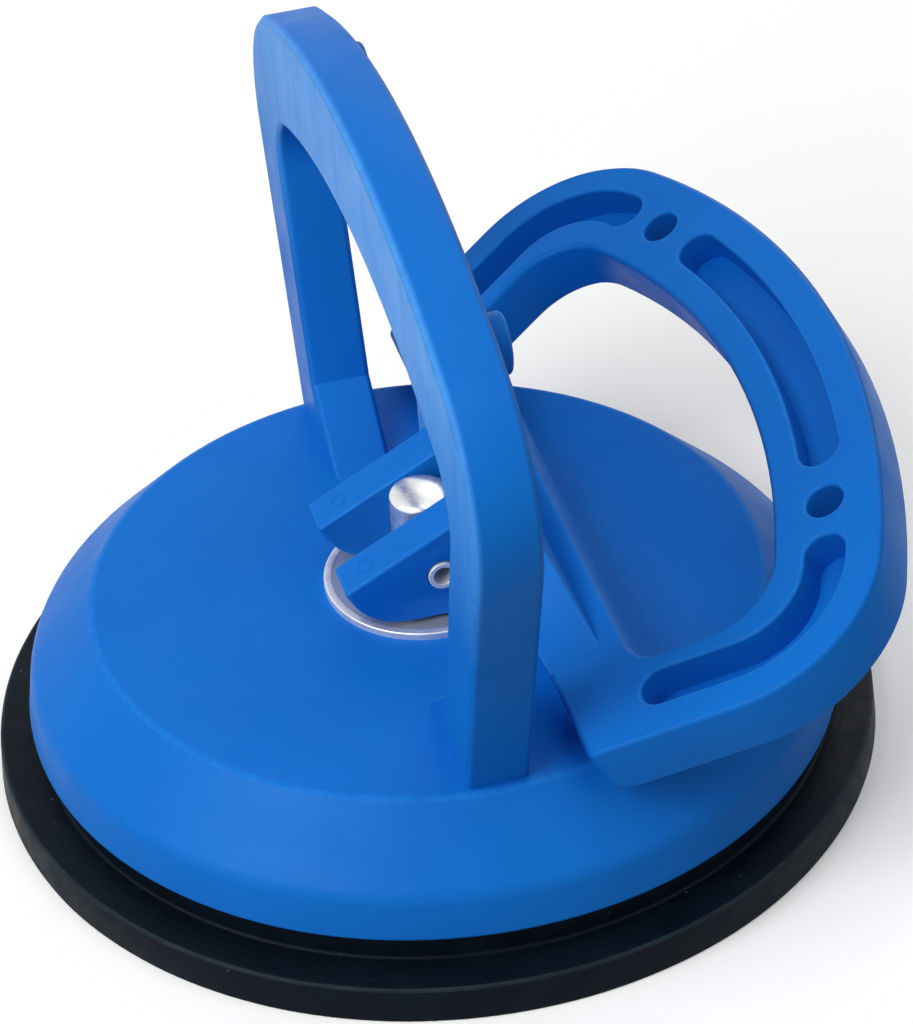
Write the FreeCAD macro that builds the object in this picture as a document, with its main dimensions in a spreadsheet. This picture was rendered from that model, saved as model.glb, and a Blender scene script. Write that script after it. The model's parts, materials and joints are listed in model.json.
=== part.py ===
import FreeCAD, Part
import math
import os

import Sketcher
from FreeCAD import Placement, Rotation, Vector

# A hand-held suction lifter: a rubber pad under a moulded housing with a fixed arched handle, and a
# lever handle whose forked end is a cam. Closing the lever against the fixed handle pulls the stud,
# and with it the middle of the pad, upwards, which makes the vacuum.
#
# Frame: millimetres, +Z up, origin on the floor at the middle of the pad. The lever opens towards +X
# and its pin lies along Y. The lever is drawn upright, as it stands when closed, with its pin at its
# own origin, and its Placement leans it down to where it rests.

# Driving sizes: name, value and what it is.
SIZES = [
    ("pad_radius", 59.0, "rubber pad, at the floor"),
    ("pad_rim_height", 5.0, "rubber pad, outer rim"),
    ("pad_rim_draft", 0.4, "how much narrower the rim is at its top"),
    ("pad_rim_chamfer", 0.5, "chamfer of the rim's top edge"),
    ("pad_lip_width", 9.0, "flat sealing lip round the underside"),
    ("pad_cup_depth", 1.2, "hollow of the underside at rest"),
    ("pad_cup_slope", 5.0, "width over which the hollow runs out"),
    ("pad_shoulder_inset", 1.4, "seat under the skirt, set in from the skirt's edge"),
    ("pad_spigot_height", 2.0, "ring that centres the pad in the skirt"),
    ("pad_spigot_width", 5.0, "the same ring, across"),
    ("pad_cover", 1.6, "rubber over and round the anchor plate"),
    ("skirt_radius", 54.15, "housing, lower edge"),
    ("skirt_draft", 0.95, "how much narrower the skirt is at its top"),
    ("skirt_bottom", 9.0, "height of the housing's lower edge"),
    ("shoulder_height", 15.0, "height where the skirt meets the sloping shoulder"),
    ("deck_radius", 44.4, "flat top of the housing"),
    ("deck_height", 23.8, "height of that flat top"),
    ("wall", 3.0, "housing wall"),
    ("guide_radius", 8.5, "boss that guides the stud"),
    ("guide_length", 7.8, "the same boss, from the top"),
    ("rib_width", 2.0, "stiffening ribs under the top"),
    ("rib_depth", 5.3, "the same ribs, below the ceiling"),
    ("rib_count", 8, "radial ribs"),
    ("ring_radius", 27.0, "ring rib, middle"),
    ("arch_front", -6.4, "fixed handle, front face"),
    ("arch_thickness", 8.2, "fixed handle, front to back"),
    ("arch_foot_inset", 1.2, "fixed handle, feet inside the edge of the deck"),
    ("arch_height", 70.0, "fixed handle, from the deck to the crest"),
    ("arch_crest_radius", 120.0, "fixed handle, curve of the crest"),
    ("arch_flare", 17.85, "fixed handle, lean of its outer sides, degrees"),
    ("arch_corner", 18.0, "fixed handle, outer corners"),
    ("arch_opening_corner", 8.0, "fixed handle, inner corners under the crest"),
    ("arch_leg", 11.2, "fixed handle, width of a leg above its gusset"),
    ("arch_opening_lean", 16.0, "fixed handle, lean of the legs' inner sides"),
    ("gusset_width", 10.4, "foot gusset, along the deck"),
    ("gusset_height", 9.0, "foot gusset, up the leg"),
    ("band", 14.7, "both handles, thickness of the crest"),
    ("handle_chamfer", 0.8, "chamfer of both handles' edges"),
    ("bumper_radius", 3.8, "round stops on the fixed handle that the closed lever lands on"),
    ("bumper_length", 2.6, "the same stops"),
    ("bumper_offset", 33.2, "the same stops, from the middle"),
    ("bumper_height", 57.5, "the same stops, from the deck"),
    ("stop_clearance", 0.3, "between the stops and the closed lever"),
    ("lever_swing", 62.66, "turn of the lever from rest to upright, degrees"),
    ("lever_thickness", 8.4, "lever, front to back"),
    ("lever_foot", 49.0, "lever, half its width at the hinge end"),
    ("lever_foot_height", 6.0, "lever, from the pin to the hinge end"),
    ("lever_foot_round", 1.5, "lever, outer corners of the hinge end"),
    ("lever_crest", 59.6, "lever, from the pin to the crest"),
    ("lever_crest_radius", 108.0, "lever, curve of the crest"),
    ("lever_flare", 20.0, "lever, lean of its outer sides, degrees"),
    ("lever_corner", 20.0, "lever, outer corners"),
    ("bar_height", 10.5, "lever, height of the bar under its opening"),
    ("opening_foot", 38.8, "lever, half the opening's width above the bar"),
    ("opening_lean", 19.5, "lever, lean of the opening's sides, degrees"),
    ("opening_corner", 9.5, "lever, corners of the opening under the crest"),
    ("opening_foot_round", 5.0, "lever, lower corners of the opening"),
    ("stiffener_height", 7.5, "cross stiffener of the lever, along the lever"),
    ("stiffener_half_width", 33.0, "cross stiffener, half its width at its root"),
    ("pocket_wall", 4.8, "coring pockets, from the lever's outline"),
    ("pocket_width", 5.5, "coring pockets, across"),
    ("pocket_depth", 4.8, "coring pockets"),
    ("crest_pocket_reach", 24.2, "middle pocket, from the middle to its end's centre"),
    ("side_pocket_foot", 18.0, "side pockets, from the pin to the lower end's centre"),
    ("side_pocket_end", 41.0, "side pockets, from the middle to the upper end's centre"),
    ("hole_radius", 2.5, "round holes between the pockets"),
    ("hole_offset", 33.2, "the same holes, from the middle"),
    ("prong_half_width", 10.4, "fork, half its width"),
    ("prong_rise", 6.0, "fork, from the pin to its top"),
    ("prong_gap_clearance", 0.2, "between a prong and the stud"),
    ("cam_radius", 8.6, "rounding of the fork's toe, which rolls on the washer"),
    ("cam_clearance", 0.3, "between the lever and what it rests on, at rest and closed"),
    ("rest_reach", 6.4, "fork, from the pin to its underside"),
    ("pull_lift", 5.2, "how far the lever lifts the stud"),
    ("pin_radius", 2.0, "hinge pin, a rolled spring pin"),
    ("pin_wall", 0.7, "hinge pin, wall"),
    ("pin_slot", 0.9, "hinge pin, slot"),
    ("pin_proud", 0.2, "hinge pin, past the prongs"),
    ("pin_clearance", 0.06, "hinge pin in the prongs"),
    ("stud_radius", 4.1, "pull stud"),
    ("stud_rise", 6.7, "pull stud, from the pin to its top"),
    ("stud_crown", 0.7, "pull stud, height of its domed end"),
    ("stud_chamfer", 0.8, "pull stud, chamfer of its top edge"),
    ("stud_clearance", 0.08, "pull stud in its guide"),
    ("collar_radius", 6.5, "collar of the stud, on the anchor plate"),
    ("collar_height", 2.0, "the same collar"),
    ("spigot_radius", 3.0, "end of the stud, riveted into the anchor plate"),
    ("rivet_flare", 1.0, "the same end, spread into the plate's countersink"),
    ("plate_radius", 20.0, "anchor plate"),
    ("plate_thickness", 2.0, "anchor plate"),
    ("plate_bottom", 4.6, "height of the anchor plate's underside"),
    ("soft_clearance", 0.3, "between the rubber and the moving metal in it"),
    ("washer_radius", 13.5, "thrust washer"),
    ("washer_thickness", 0.8, "thrust washer"),
    ("washer_rim", 0.2, "raised rim of the washer"),
    ("washer_rim_width", 1.0, "the same rim"),
    ("washer_clearance", 0.4, "thrust washer round the stud"),
]

SHEET = "Sizes"

# How far apart two places may be and still count as one.
SMALL = 1e-4


class Dim:
    """A length or an angle that carries its number and the sheet expression that gives it."""

    def __init__(self, value, text):
        self.value = value
        self.text = text

    def __add__(self, other):
        other = dim(other)
        return Dim(self.value + other.value, f"({self.text} + {other.text})")

    def __sub__(self, other):
        other = dim(other)
        return Dim(self.value - other.value, f"({self.text} - {other.text})")

    def __mul__(self, other):
        other = dim(other)
        return Dim(self.value * other.value, f"({self.text} * {other.text})")

    def __truediv__(self, other):
        other = dim(other)
        return Dim(self.value / other.value, f"({self.text} / {other.text})")

    def __neg__(self):
        return Dim(-self.value, f"(-1 * {self.text})")


def dim(number):
    """Return number as a Dim, so that plain numbers and sizes can be mixed."""
    return number if isinstance(number, Dim) else Dim(float(number), repr(float(number)))


def sine(angle):
    return Dim(math.sin(math.radians(angle.value)), f"sin({angle.text})")


def cosine(angle):
    return Dim(math.cos(math.radians(angle.value)), f"cos({angle.text})")


def root(area):
    return Dim(math.sqrt(area.value), f"sqrt({area.text})")


def make_sheet(doc):
    """Write the driving sizes to a sheet, one named cell each, and return them as Dims by name."""
    sheet = doc.addObject("Spreadsheet::Sheet", SHEET)
    for row, (name, value, meaning) in enumerate(SIZES, start=1):
        sheet.set(f"A{row}", name)
        sheet.set(f"B{row}", str(value))
        sheet.setAlias(f"B{row}", name)
        sheet.set(f"C{row}", meaning)
    return {name: Dim(float(value), f"{SHEET}.{name}") for name, value, _ in SIZES}


class Sizes:
    """The sheet's sizes as attributes, with the few places that several pieces share."""

    def __init__(self, named):
        self.__dict__.update(named)
        self.ceiling = self.deck_height - self.wall
        self.arch_foot = self.deck_radius - self.arch_foot_inset
        self.arch_back = self.arch_front + self.arch_thickness
        self.arch_crest = self.deck_height + self.arch_height
        self.washer_top = self.deck_height + self.washer_thickness
        self.rim_top = self.washer_top + self.washer_rim
        self.pin_height = self.rim_top + self.cam_clearance + self.rest_reach
        self.closed_reach = self.rest_reach + self.pull_lift
        self.lever_front = self.arch_back + self.bumper_length + self.stop_clearance
        self.plate_top = self.plate_bottom + self.plate_thickness
        self.stud_top = self.pin_height + self.stud_rise


# Sketch helpers ---------------------------------------------------------------------------------


def new_body(doc, label):
    body = doc.addObject("PartDesign::Body", label)
    body.Label = label
    return body


def sketch_on(body, name, role, offset=None):
    """Return a sketch on one of the body's own origin planes, moved along the plane's normal."""
    plane = next(item for item in body.Origin.OriginFeatures if item.Role == role)
    sketch = body.newObject("Sketcher::SketchObject", name)
    sketch.AttachmentSupport = (plane, [""])
    sketch.MapMode = "FlatFace"
    if offset is not None:
        sketch.AttachmentOffset = Placement(Vector(0, 0, offset.value), Rotation())
        sketch.setExpression("AttachmentOffset.Base.z", offset.text)
    return sketch


def bind(sketch, constraint, size):
    """Add a driving constraint whose value is a sheet expression. Angles are in degrees."""
    value = math.radians(size.value) if constraint[0] == "Angle" else size.value
    index = sketch.addConstraint(Sketcher.Constraint(*constraint, value))
    sketch.setExpression(f"Constraints[{index}]", size.text)


def pin_point(sketch, shape, end, across, up):
    """Hold one end of a shape at a place measured from the sketch's origin."""
    bind(sketch, ("DistanceX", -1, 1, shape, end), dim(across))
    bind(sketch, ("DistanceY", -1, 1, shape, end), dim(up))


def polygon(sketch, corners):
    """Draw a closed outline through corners, each (across, up) or (across, up, rounding).

    Sharp corners are held by their own sizes. A rounded one is held by a construction point where
    its two sides would meet.
    """
    count = len(corners)
    places = [(dim(corner[0]), dim(corner[1])) for corner in corners]
    rounds = [corner[2] if len(corner) > 2 else None for corner in corners]
    points = [Vector(across.value, up.value, 0) for across, up in places]
    arrive, leave, centres = [], [], []
    for index, point in enumerate(points):
        back = (points[index - 1] - point).normalize()
        ahead = (points[(index + 1) % count] - point).normalize()
        setback, reach = 0.0, 0.0
        if rounds[index] is not None:
            half = back.getAngle(ahead) / 2
            setback = rounds[index].value / math.tan(half)
            reach = rounds[index].value / math.sin(half)
        arrive.append(point + back * setback)
        leave.append(point + ahead * setback)
        centres.append(point + (back + ahead).normalize() * reach if reach else point)
    sides = [
        line(sketch, leave[index][:2], arrive[(index + 1) % count][:2]) for index in range(count)
    ]
    for index, radius in enumerate(rounds):
        before, after = sides[index - 1], sides[index]
        if radius is None:
            join(sketch, "Coincident", before, 2, after, 1)
            pin_point(sketch, after, 1, *places[index])
            continue
        ends = (arrive[index][:2], leave[index][:2])
        turn = (points[index] - points[index - 1]).cross(points[(index + 1) % count] - points[index]).z
        first, last = (1, 2) if turn > 0 else (2, 1)
        bend = arc(sketch, centres[index][:2], radius.value, *(ends if turn > 0 else ends[::-1]))
        corner = sketch.addGeometry(Part.Point(points[index]), True)
        join(sketch, "Tangent", before, 2, bend, first)
        join(sketch, "Tangent", bend, last, after, 1)
        pin_point(sketch, corner, 1, *places[index])
        sketch.addConstraint(Sketcher.Constraint("PointOnObject", corner, 1, before))
        sketch.addConstraint(Sketcher.Constraint("PointOnObject", corner, 1, after))
        bind(sketch, ("Radius", bend), radius)


def circle(sketch, across, up, radius):
    across, up = dim(across), dim(up)
    shape = Part.Circle(Vector(across.value, up.value, 0), Vector(0, 0, 1), radius.value)
    index = sketch.addGeometry(shape, False)
    bind(sketch, ("Radius", index), radius)
    pin_point(sketch, index, 3, across, up)


def arc(sketch, centre, radius, start, end):
    """Draw an arc, anticlockwise from the direction of start to the direction of end."""
    whole = Part.Circle(Vector(*centre, 0), Vector(0, 0, 1), radius)
    angles = [math.atan2(place[1] - centre[1], place[0] - centre[0]) for place in (start, end)]
    if angles[1] < angles[0]:
        angles[1] += 2 * math.pi
    return sketch.addGeometry(Part.ArcOfCircle(whole, *angles), False)


def line(sketch, start, end):
    return sketch.addGeometry(Part.LineSegment(Vector(*start, 0), Vector(*end, 0)), False)


def join(sketch, kind, first, first_end, second, second_end):
    sketch.addConstraint(Sketcher.Constraint(kind, first, first_end, second, second_end))


def mirrored(place):
    return (-place[0], place[1])


class Arch:
    """Outline of a handle: leaning sides, rounded corners and a gently curved crest.

    The sides start at (foot, base), lean outwards by lean, and run tangent into corners of radius
    corner, which run tangent into a crest of radius crest_radius whose top is at height crest.
    """

    def __init__(self, foot, base, lean, corner, crest, crest_radius):
        self.foot, self.base, self.lean = foot, base, lean
        self.corner, self.crest_radius = corner, crest_radius
        self.crest_centre = crest - crest_radius
        # The corner's centre lies corner inside the side and crest_radius - corner from the crest's
        # centre, which gives a quadratic for how far up the side it stands.
        across = foot - cosine(lean) * corner
        up = base + sine(lean) * corner - self.crest_centre
        gap = crest_radius - corner
        half = sine(lean) * across + cosine(lean) * up
        climb = root(half * half - across * across - up * up + gap * gap) - half
        self.centre_across = across + sine(lean) * climb
        self.centre_up = base + sine(lean) * corner + cosine(lean) * climb
        self.side_top = (foot + sine(lean) * climb, base + cosine(lean) * climb)
        share = crest_radius / gap
        self.crest_end = (
            self.centre_across * share,
            self.crest_centre + (self.centre_up - self.crest_centre) * share,
        )

    def draw(self, sketch, gusset=None):
        """Draw the closed outline. A gusset, as (half width at the deck, height of the deck),
        narrows the foot by a slope from the foot of each side."""
        foot = (self.foot.value, self.base.value)
        side_top = tuple(size.value for size in self.side_top)
        crest_end = tuple(size.value for size in self.crest_end)
        corner = (self.centre_across.value, self.centre_up.value)
        crest = (0.0, self.crest_centre.value)
        sides = (
            line(sketch, foot, side_top),
            line(sketch, mirrored(side_top), mirrored(foot)),
        )
        corners = (
            arc(sketch, corner, self.corner.value, side_top, crest_end),
            arc(sketch, mirrored(corner), self.corner.value, mirrored(crest_end), mirrored(side_top)),
        )
        top = arc(sketch, crest, self.crest_radius.value, crest_end, mirrored(crest_end))
        join(sketch, "Tangent", sides[0], 2, corners[0], 1)
        join(sketch, "Tangent", corners[0], 2, top, 1)
        join(sketch, "Tangent", top, 2, corners[1], 1)
        join(sketch, "Tangent", corners[1], 2, sides[1], 1)
        bind(sketch, ("Radius", corners[0]), self.corner)
        sketch.addConstraint(Sketcher.Constraint("Equal", corners[0], corners[1]))
        bind(sketch, ("Radius", top), self.crest_radius)
        pin_point(sketch, top, 3, 0, self.crest_centre)
        pin_point(sketch, sides[0], 1, self.foot, self.base)
        pin_point(sketch, sides[1], 2, -self.foot, self.base)
        upright = dim(90)
        bind(sketch, ("Angle", -1, 1, sides[0], 1), upright - self.lean)
        bind(sketch, ("Angle", -1, 1, sides[1], 2), upright + self.lean)
        if gusset is None:
            floor = line(sketch, mirrored(foot), foot)
            join(sketch, "Coincident", sides[1], 2, floor, 1)
            join(sketch, "Coincident", floor, 2, sides[0], 1)
            return
        inner = tuple(size.value for size in gusset)
        slopes = (line(sketch, inner, foot), line(sketch, mirrored(foot), mirrored(inner)))
        floor = line(sketch, mirrored(inner), inner)
        join(sketch, "Coincident", sides[1], 2, slopes[1], 1)
        join(sketch, "Coincident", slopes[1], 2, floor, 1)
        join(sketch, "Coincident", floor, 2, slopes[0], 1)
        join(sketch, "Coincident", slopes[0], 2, sides[0], 1)
        pin_point(sketch, floor, 1, -gusset[0], gusset[1])
        pin_point(sketch, floor, 2, gusset[0], gusset[1])


# Feature helpers --------------------------------------------------------------------------------


def revolve(body, sketch, name):
    """Turn a sketch right round its own upright axis."""
    feature = body.newObject("PartDesign::Revolution", name)
    feature.Profile = sketch
    feature.ReferenceAxis = (sketch, ["V_Axis"])
    feature.Angle = 360
    return feature


def pad(body, sketch, length, name, symmetric=False):
    """Extrude a sketch along its plane's normal, or half each way."""
    feature = body.newObject("PartDesign::Pad", name)
    feature.Profile = sketch
    feature.SideType = "Symmetric" if symmetric else "One side"
    feature.Length = length.value
    feature.setExpression("Length", length.text)
    return feature


def pocket(body, sketch, name, depth=None, symmetric=False):
    """Cut a sketch along its plane's normal: to a depth, half of it each way, or right through."""
    before = body.Shape.Volume
    feature = body.newObject("PartDesign::Pocket", name)
    feature.Profile = sketch
    if depth is None:
        feature.Type = "ThroughAll"
        feature.SideType = "Symmetric"
    else:
        feature.Reversed = not symmetric
        feature.SideType = "Symmetric" if symmetric else "One side"
        feature.Length = depth.value
        feature.setExpression("Length", depth.text)
    body.Document.recompute()
    if not body.Shape.Volume < before:
        raise RuntimeError(f"{name} of {body.Label} removed nothing")
    return feature


def dress_edges(body, chosen, amount, name, kind="Fillet"):
    """Round, or with kind "Chamfer" bevel, the edges of the body so far that chosen(edge) picks."""
    body.Document.recompute()
    base = body.Tip
    names = [f"Edge{i}" for i, edge in enumerate(base.Shape.Edges, start=1) if chosen(edge)]
    if not names:
        raise RuntimeError(f"{name} of {body.Label} found no edges")
    feature = body.newObject(f"PartDesign::{kind}", name)
    feature.Base = (base, names)
    measure = "Radius" if kind == "Fillet" else "Size"
    setattr(feature, measure, amount.value)
    feature.setExpression(measure, amount.text)
    return feature


def lies_in(edge, axis, place):
    """Tell whether a whole edge lies in the plane where its coordinate along axis is place."""
    box = edge.BoundBox
    low, high = getattr(box, f"{axis}Min"), getattr(box, f"{axis}Max")
    return abs(low - place) < SMALL and abs(high - place) < SMALL


# Pieces -----------------------------------------------------------------------------------------


def make_housing(doc, size):
    """Moulded housing with its fixed handle: a ribbed shell, an arch and two stops for the lever."""
    body = new_body(doc, "base_housing")
    skirt_top = size.skirt_radius - size.skirt_draft
    guide_end = size.deck_height - size.guide_length
    rib_end = size.ceiling - size.rib_depth
    into_wall = size.wall / 3

    shell = sketch_on(body, "ShellProfile", "XZ_Plane")
    inner_skirt = size.skirt_radius - size.wall
    inner_shoulder = skirt_top - size.wall
    knee = size.shoulder_height - size.wall / 2
    polygon(shell, [
        (0, size.deck_height),
        (size.deck_radius, size.deck_height),
        (skirt_top, size.shoulder_height),
        (size.skirt_radius, size.skirt_bottom),
        (inner_skirt, size.skirt_bottom),
        (inner_shoulder, knee),
        (size.deck_radius - size.wall / 2, size.ceiling),
        (size.guide_radius, size.ceiling),
        (size.guide_radius, guide_end),
        (0, guide_end),
    ])
    revolve(body, shell, "Shell")

    ring = sketch_on(body, "RingProfile", "XZ_Plane")
    half_rib = size.rib_width / 2
    polygon(ring, [
        (size.ring_radius - half_rib, rib_end),
        (size.ring_radius + half_rib, rib_end),
        (size.ring_radius + half_rib, size.ceiling + into_wall),
        (size.ring_radius - half_rib, size.ceiling + into_wall),
    ])
    revolve(body, ring, "RingRib")

    rib = sketch_on(body, "RibProfile", "XZ_Plane")
    polygon(rib, [
        (size.guide_radius - into_wall, rib_end),
        (inner_shoulder, rib_end),
        (size.deck_radius - size.wall / 2, size.ceiling + into_wall),
        (size.guide_radius - into_wall, size.ceiling + into_wall),
    ])
    rib_pad = pad(body, rib, size.rib_width, "RadialRib", symmetric=True)
    doc.recompute()
    pattern = body.newObject("PartDesign::PolarPattern", "RadialRibs")
    pattern.Originals = [rib_pad]
    pattern.Axis = (shell, ["V_Axis"])
    pattern.Angle = 360
    pattern.Occurrences = int(size.rib_count.value)
    pattern.setExpression("Occurrences", size.rib_count.text)
    body.Tip = pattern
    doc.recompute()

    # The arch starts inside the deck, so that the two are one moulding.
    sunk = size.deck_height - size.wall / 2
    flare_slope = sine(size.arch_flare) / cosine(size.arch_flare)
    outline = Arch(
        size.arch_foot - flare_slope * (size.wall / 2),
        sunk,
        size.arch_flare,
        size.arch_corner,
        size.arch_crest,
        size.arch_crest_radius,
    )
    arch = sketch_on(body, "ArchOutline", "YZ_Plane", size.arch_front)
    outline.draw(arch)
    pad(body, arch, size.arch_thickness, "ArchPad")
    opening_foot = size.arch_foot + flare_slope * size.gusset_height - size.arch_leg
    opening = Arch(
        opening_foot,
        size.deck_height + size.gusset_height,
        size.arch_opening_lean,
        size.arch_opening_corner,
        size.arch_crest - size.band,
        size.arch_crest_radius - size.band,
    )
    grip = sketch_on(body, "ArchOpening", "YZ_Plane", size.arch_front)
    opening.draw(grip, gusset=(opening_foot - size.gusset_width, size.deck_height))
    doc.recompute()
    pocket(body, grip, "ArchGrip")
    front, back = size.arch_front.value, size.arch_back.value
    dress_edges(
        body,
        lambda edge: (lies_in(edge, "X", front) or lies_in(edge, "X", back))
        and edge.BoundBox.ZMax > size.deck_height.value + SMALL,
        size.handle_chamfer,
        "ArchChamfers",
        "Chamfer",
    )

    bumpers = sketch_on(body, "Bumpers", "YZ_Plane", size.arch_back - into_wall)
    height = size.deck_height + size.bumper_height
    for side in (-1, 1):
        circle(bumpers, size.bumper_offset * side, height, size.bumper_radius)
    pad(body, bumpers, size.bumper_length + into_wall, "BumperPad")
    doc.recompute()

    # The bore ends just above the deck, clear of the arch that stands over it.
    bore = sketch_on(body, "StudBore", "XY_Plane")
    circle(bore, 0, 0, size.stud_radius + size.stud_clearance)
    pocket(body, bore, "StudBoreCut", size.deck_height + into_wall)
    return body


def make_lever(doc, size):
    """Lever handle: a pocketed loop, a cross stiffener and a fork whose toe is the cam."""
    body = new_body(doc, "lever_handle")
    front = size.lever_front
    back = front + size.lever_thickness
    outline = Arch(
        size.lever_foot,
        size.lever_foot_height,
        size.lever_flare,
        size.lever_corner,
        size.lever_crest,
        size.lever_crest_radius,
    )
    plate = sketch_on(body, "LoopOutline", "YZ_Plane", front)
    outline.draw(plate)
    pad(body, plate, size.lever_thickness, "LoopPad")
    doc.recompute()
    bar_top = size.lever_foot_height + size.bar_height
    opening = Arch(
        size.opening_foot,
        bar_top,
        size.opening_lean,
        size.opening_corner,
        size.lever_crest - size.band,
        size.lever_crest_radius - size.band,
    )
    grip = sketch_on(body, "LoopOpening", "YZ_Plane", front)
    opening.draw(grip)
    pocket(body, grip, "LoopGrip")

    def runs_through(edge, across, up):
        """Tell whether an edge runs from front to back at a corner, on either side."""
        middle = edge.BoundBox.Center
        apart = max(abs(abs(middle.y) - across.value), abs(middle.z - up.value))
        return edge.BoundBox.XLength > SMALL and apart < SMALL

    dress_edges(
        body,
        lambda edge: runs_through(edge, size.opening_foot, bar_top),
        size.opening_foot_round,
        "OpeningCorners",
    )
    dress_edges(
        body,
        lambda edge: runs_through(edge, size.lever_foot, size.lever_foot_height),
        size.lever_foot_round,
        "FootCorners",
    )
    dress_edges(
        body,
        lambda edge: lies_in(edge, "X", front.value) or lies_in(edge, "X", back.value),
        size.handle_chamfer,
        "LoopChamfers",
        "Chamfer",
    )

    stiffener = sketch_on(body, "StiffenerSection", "XY_Plane", size.lever_foot_height)
    fork_top = -size.prong_rise
    rooted = front + size.lever_thickness / 2
    polygon(stiffener, [
        (fork_top, size.prong_half_width),
        (front, size.stiffener_half_width),
        (rooted, size.stiffener_half_width),
        (rooted, -size.stiffener_half_width),
        (front, -size.stiffener_half_width),
        (fork_top, -size.prong_half_width),
    ])
    pad(body, stiffener, size.stiffener_height, "StiffenerPad")

    # The fork's underside lies flat over the washer at rest, its end does when the lever is closed,
    # and the toe between them is an arc tangent to both.
    turn_sine, turn_cosine = sine(size.lever_swing), cosine(size.lever_swing)

    def level(drop, up):
        """How far back a plane that is level at rest, drop below the pin, lies at up."""
        return (drop + turn_cosine * up) / turn_sine

    end = -size.closed_reach
    land = size.lever_foot_height
    fork_root = land + size.stiffener_height / 2
    fork = sketch_on(body, "ForkSide", "XZ_Plane")
    polygon(fork, [
        (level(size.rest_reach, end), end, size.cam_radius),
        (fork_top, end),
        (fork_top, fork_root),
        (level(size.rest_reach, land), fork_root),
        (level(size.rest_reach, land), land),
    ])
    pad(body, fork, size.prong_half_width * 2, "ForkPad", symmetric=True)
    doc.recompute()

    # Room for the stud, whose head passes inside the stiffener as the lever turns.
    half_gap = size.stud_radius + size.prong_gap_clearance
    head_reach = root(size.stud_radius * size.stud_radius + size.stud_rise * size.stud_rise)
    gap_end = head_reach + size.prong_gap_clearance
    gap = sketch_on(body, "ForkGap", "YZ_Plane")
    polygon(gap, [
        (-half_gap, end * 2),
        (half_gap, end * 2),
        (half_gap, gap_end),
        (-half_gap, gap_end),
    ])
    pocket(body, gap, "ForkGapCut")
    bores = sketch_on(body, "PinBores", "XZ_Plane")
    circle(bores, 0, 0, size.pin_radius + size.pin_clearance)
    pocket(body, bores, "PinBoreCut")

    # The bar is cut level at rest too: over the deck, and in the middle over the washer.
    low, high = land / 2, land * 2
    lands = (
        ("RestLand", size.pin_height - size.deck_height - size.cam_clearance, None),
        ("WasherRelief", size.rest_reach, (size.washer_radius + size.cam_clearance) * 2),
    )
    for name, drop, width in lands:
        cut = sketch_on(body, name, "XZ_Plane")
        polygon(cut, [
            (level(drop, low), low),
            (level(drop, high), low),
            (level(drop, high), high),
        ])
        pocket(body, cut, f"{name}Cut", width, symmetric=True)

    make_pockets(body, size, outline)
    body.Placement = Placement(
        Vector(0, 0, size.pin_height.value), Rotation(Vector(0, 1, 0), size.lever_swing.value)
    )
    body.setExpression("Placement.Base.z", size.pin_height.text)
    body.setExpression("Placement.Rotation.Angle", size.lever_swing.text)
    doc.recompute()
    return body


def make_pockets(body, size, outline):
    """Core the front of the lever: a pocket along the crest, one down each side, and the holes."""
    front = size.lever_front
    half = size.pocket_width / 2
    crest = outline.crest_centre
    reach = outline.crest_radius - size.pocket_wall - half
    sketch = sketch_on(body, "CrestPocket", "YZ_Plane", front)
    end_across = size.crest_pocket_reach
    end_up = crest + root(reach * reach - end_across * end_across)
    centre = (0.0, crest.value)
    end = (end_across.value, end_up.value)
    out = ((reach + half) / reach).value
    inn = ((reach - half) / reach).value

    def along(share):
        return (end[0] * share, centre[1] + (end[1] - centre[1]) * share)

    outer = arc(sketch, centre, (reach + half).value, along(out), mirrored(along(out)))
    inner = arc(sketch, centre, (reach - half).value, along(inn), mirrored(along(inn)))
    caps = (
        arc(sketch, end, half.value, along(inn), along(out)),
        arc(sketch, mirrored(end), half.value, mirrored(along(out)), mirrored(along(inn))),
    )
    join(sketch, "Tangent", outer, 1, caps[0], 2)
    join(sketch, "Tangent", inner, 1, caps[0], 1)
    join(sketch, "Tangent", outer, 2, caps[1], 1)
    join(sketch, "Tangent", inner, 2, caps[1], 2)
    bind(sketch, ("Radius", outer), reach + half)
    bind(sketch, ("Radius", inner), reach - half)
    pin_point(sketch, outer, 3, 0, crest)
    pin_point(sketch, inner, 3, 0, crest)
    bind(sketch, ("DistanceX", -1, 1, caps[0], 3), end_across)
    bind(sketch, ("DistanceX", -1, 1, caps[1], 3), -end_across)
    pocket(body, sketch, "CrestPocketCut", size.pocket_depth)

    # Each side pocket follows the outline: a straight run up the side, then round its corner.
    turn = outline.corner - size.pocket_wall - half
    inset = size.pocket_wall + half
    lean_sine, lean_cosine = sine(outline.lean), cosine(outline.lean)
    centre = (outline.centre_across, outline.centre_up)
    climb = (centre[1] - lean_sine * turn - size.side_pocket_foot) / lean_cosine
    foot = (centre[0] + lean_cosine * turn - lean_sine * climb, size.side_pocket_foot)
    tip_across = size.side_pocket_end - centre[0]
    tip = (size.side_pocket_end, centre[1] + root(turn * turn - tip_across * tip_across))
    for side, name in ((1, "Right"), (-1, "Left")):
        sketch = sketch_on(body, f"{name}Pocket", "YZ_Plane", front)
        draw_side_pocket(sketch, side, half, turn, centre, foot, tip, outline.lean)
        pocket(body, sketch, f"{name}PocketCut", size.pocket_depth)

    # The round holes lie on the middle line of the crest pocket, past its ends.
    holes = sketch_on(body, "RoundHoles", "YZ_Plane", front)
    hole_up = crest + root(reach * reach - size.hole_offset * size.hole_offset)
    for side in (-1, 1):
        circle(holes, size.hole_offset * side, hole_up, size.hole_radius)
    pocket(body, holes, "RoundHoleCut")


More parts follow.
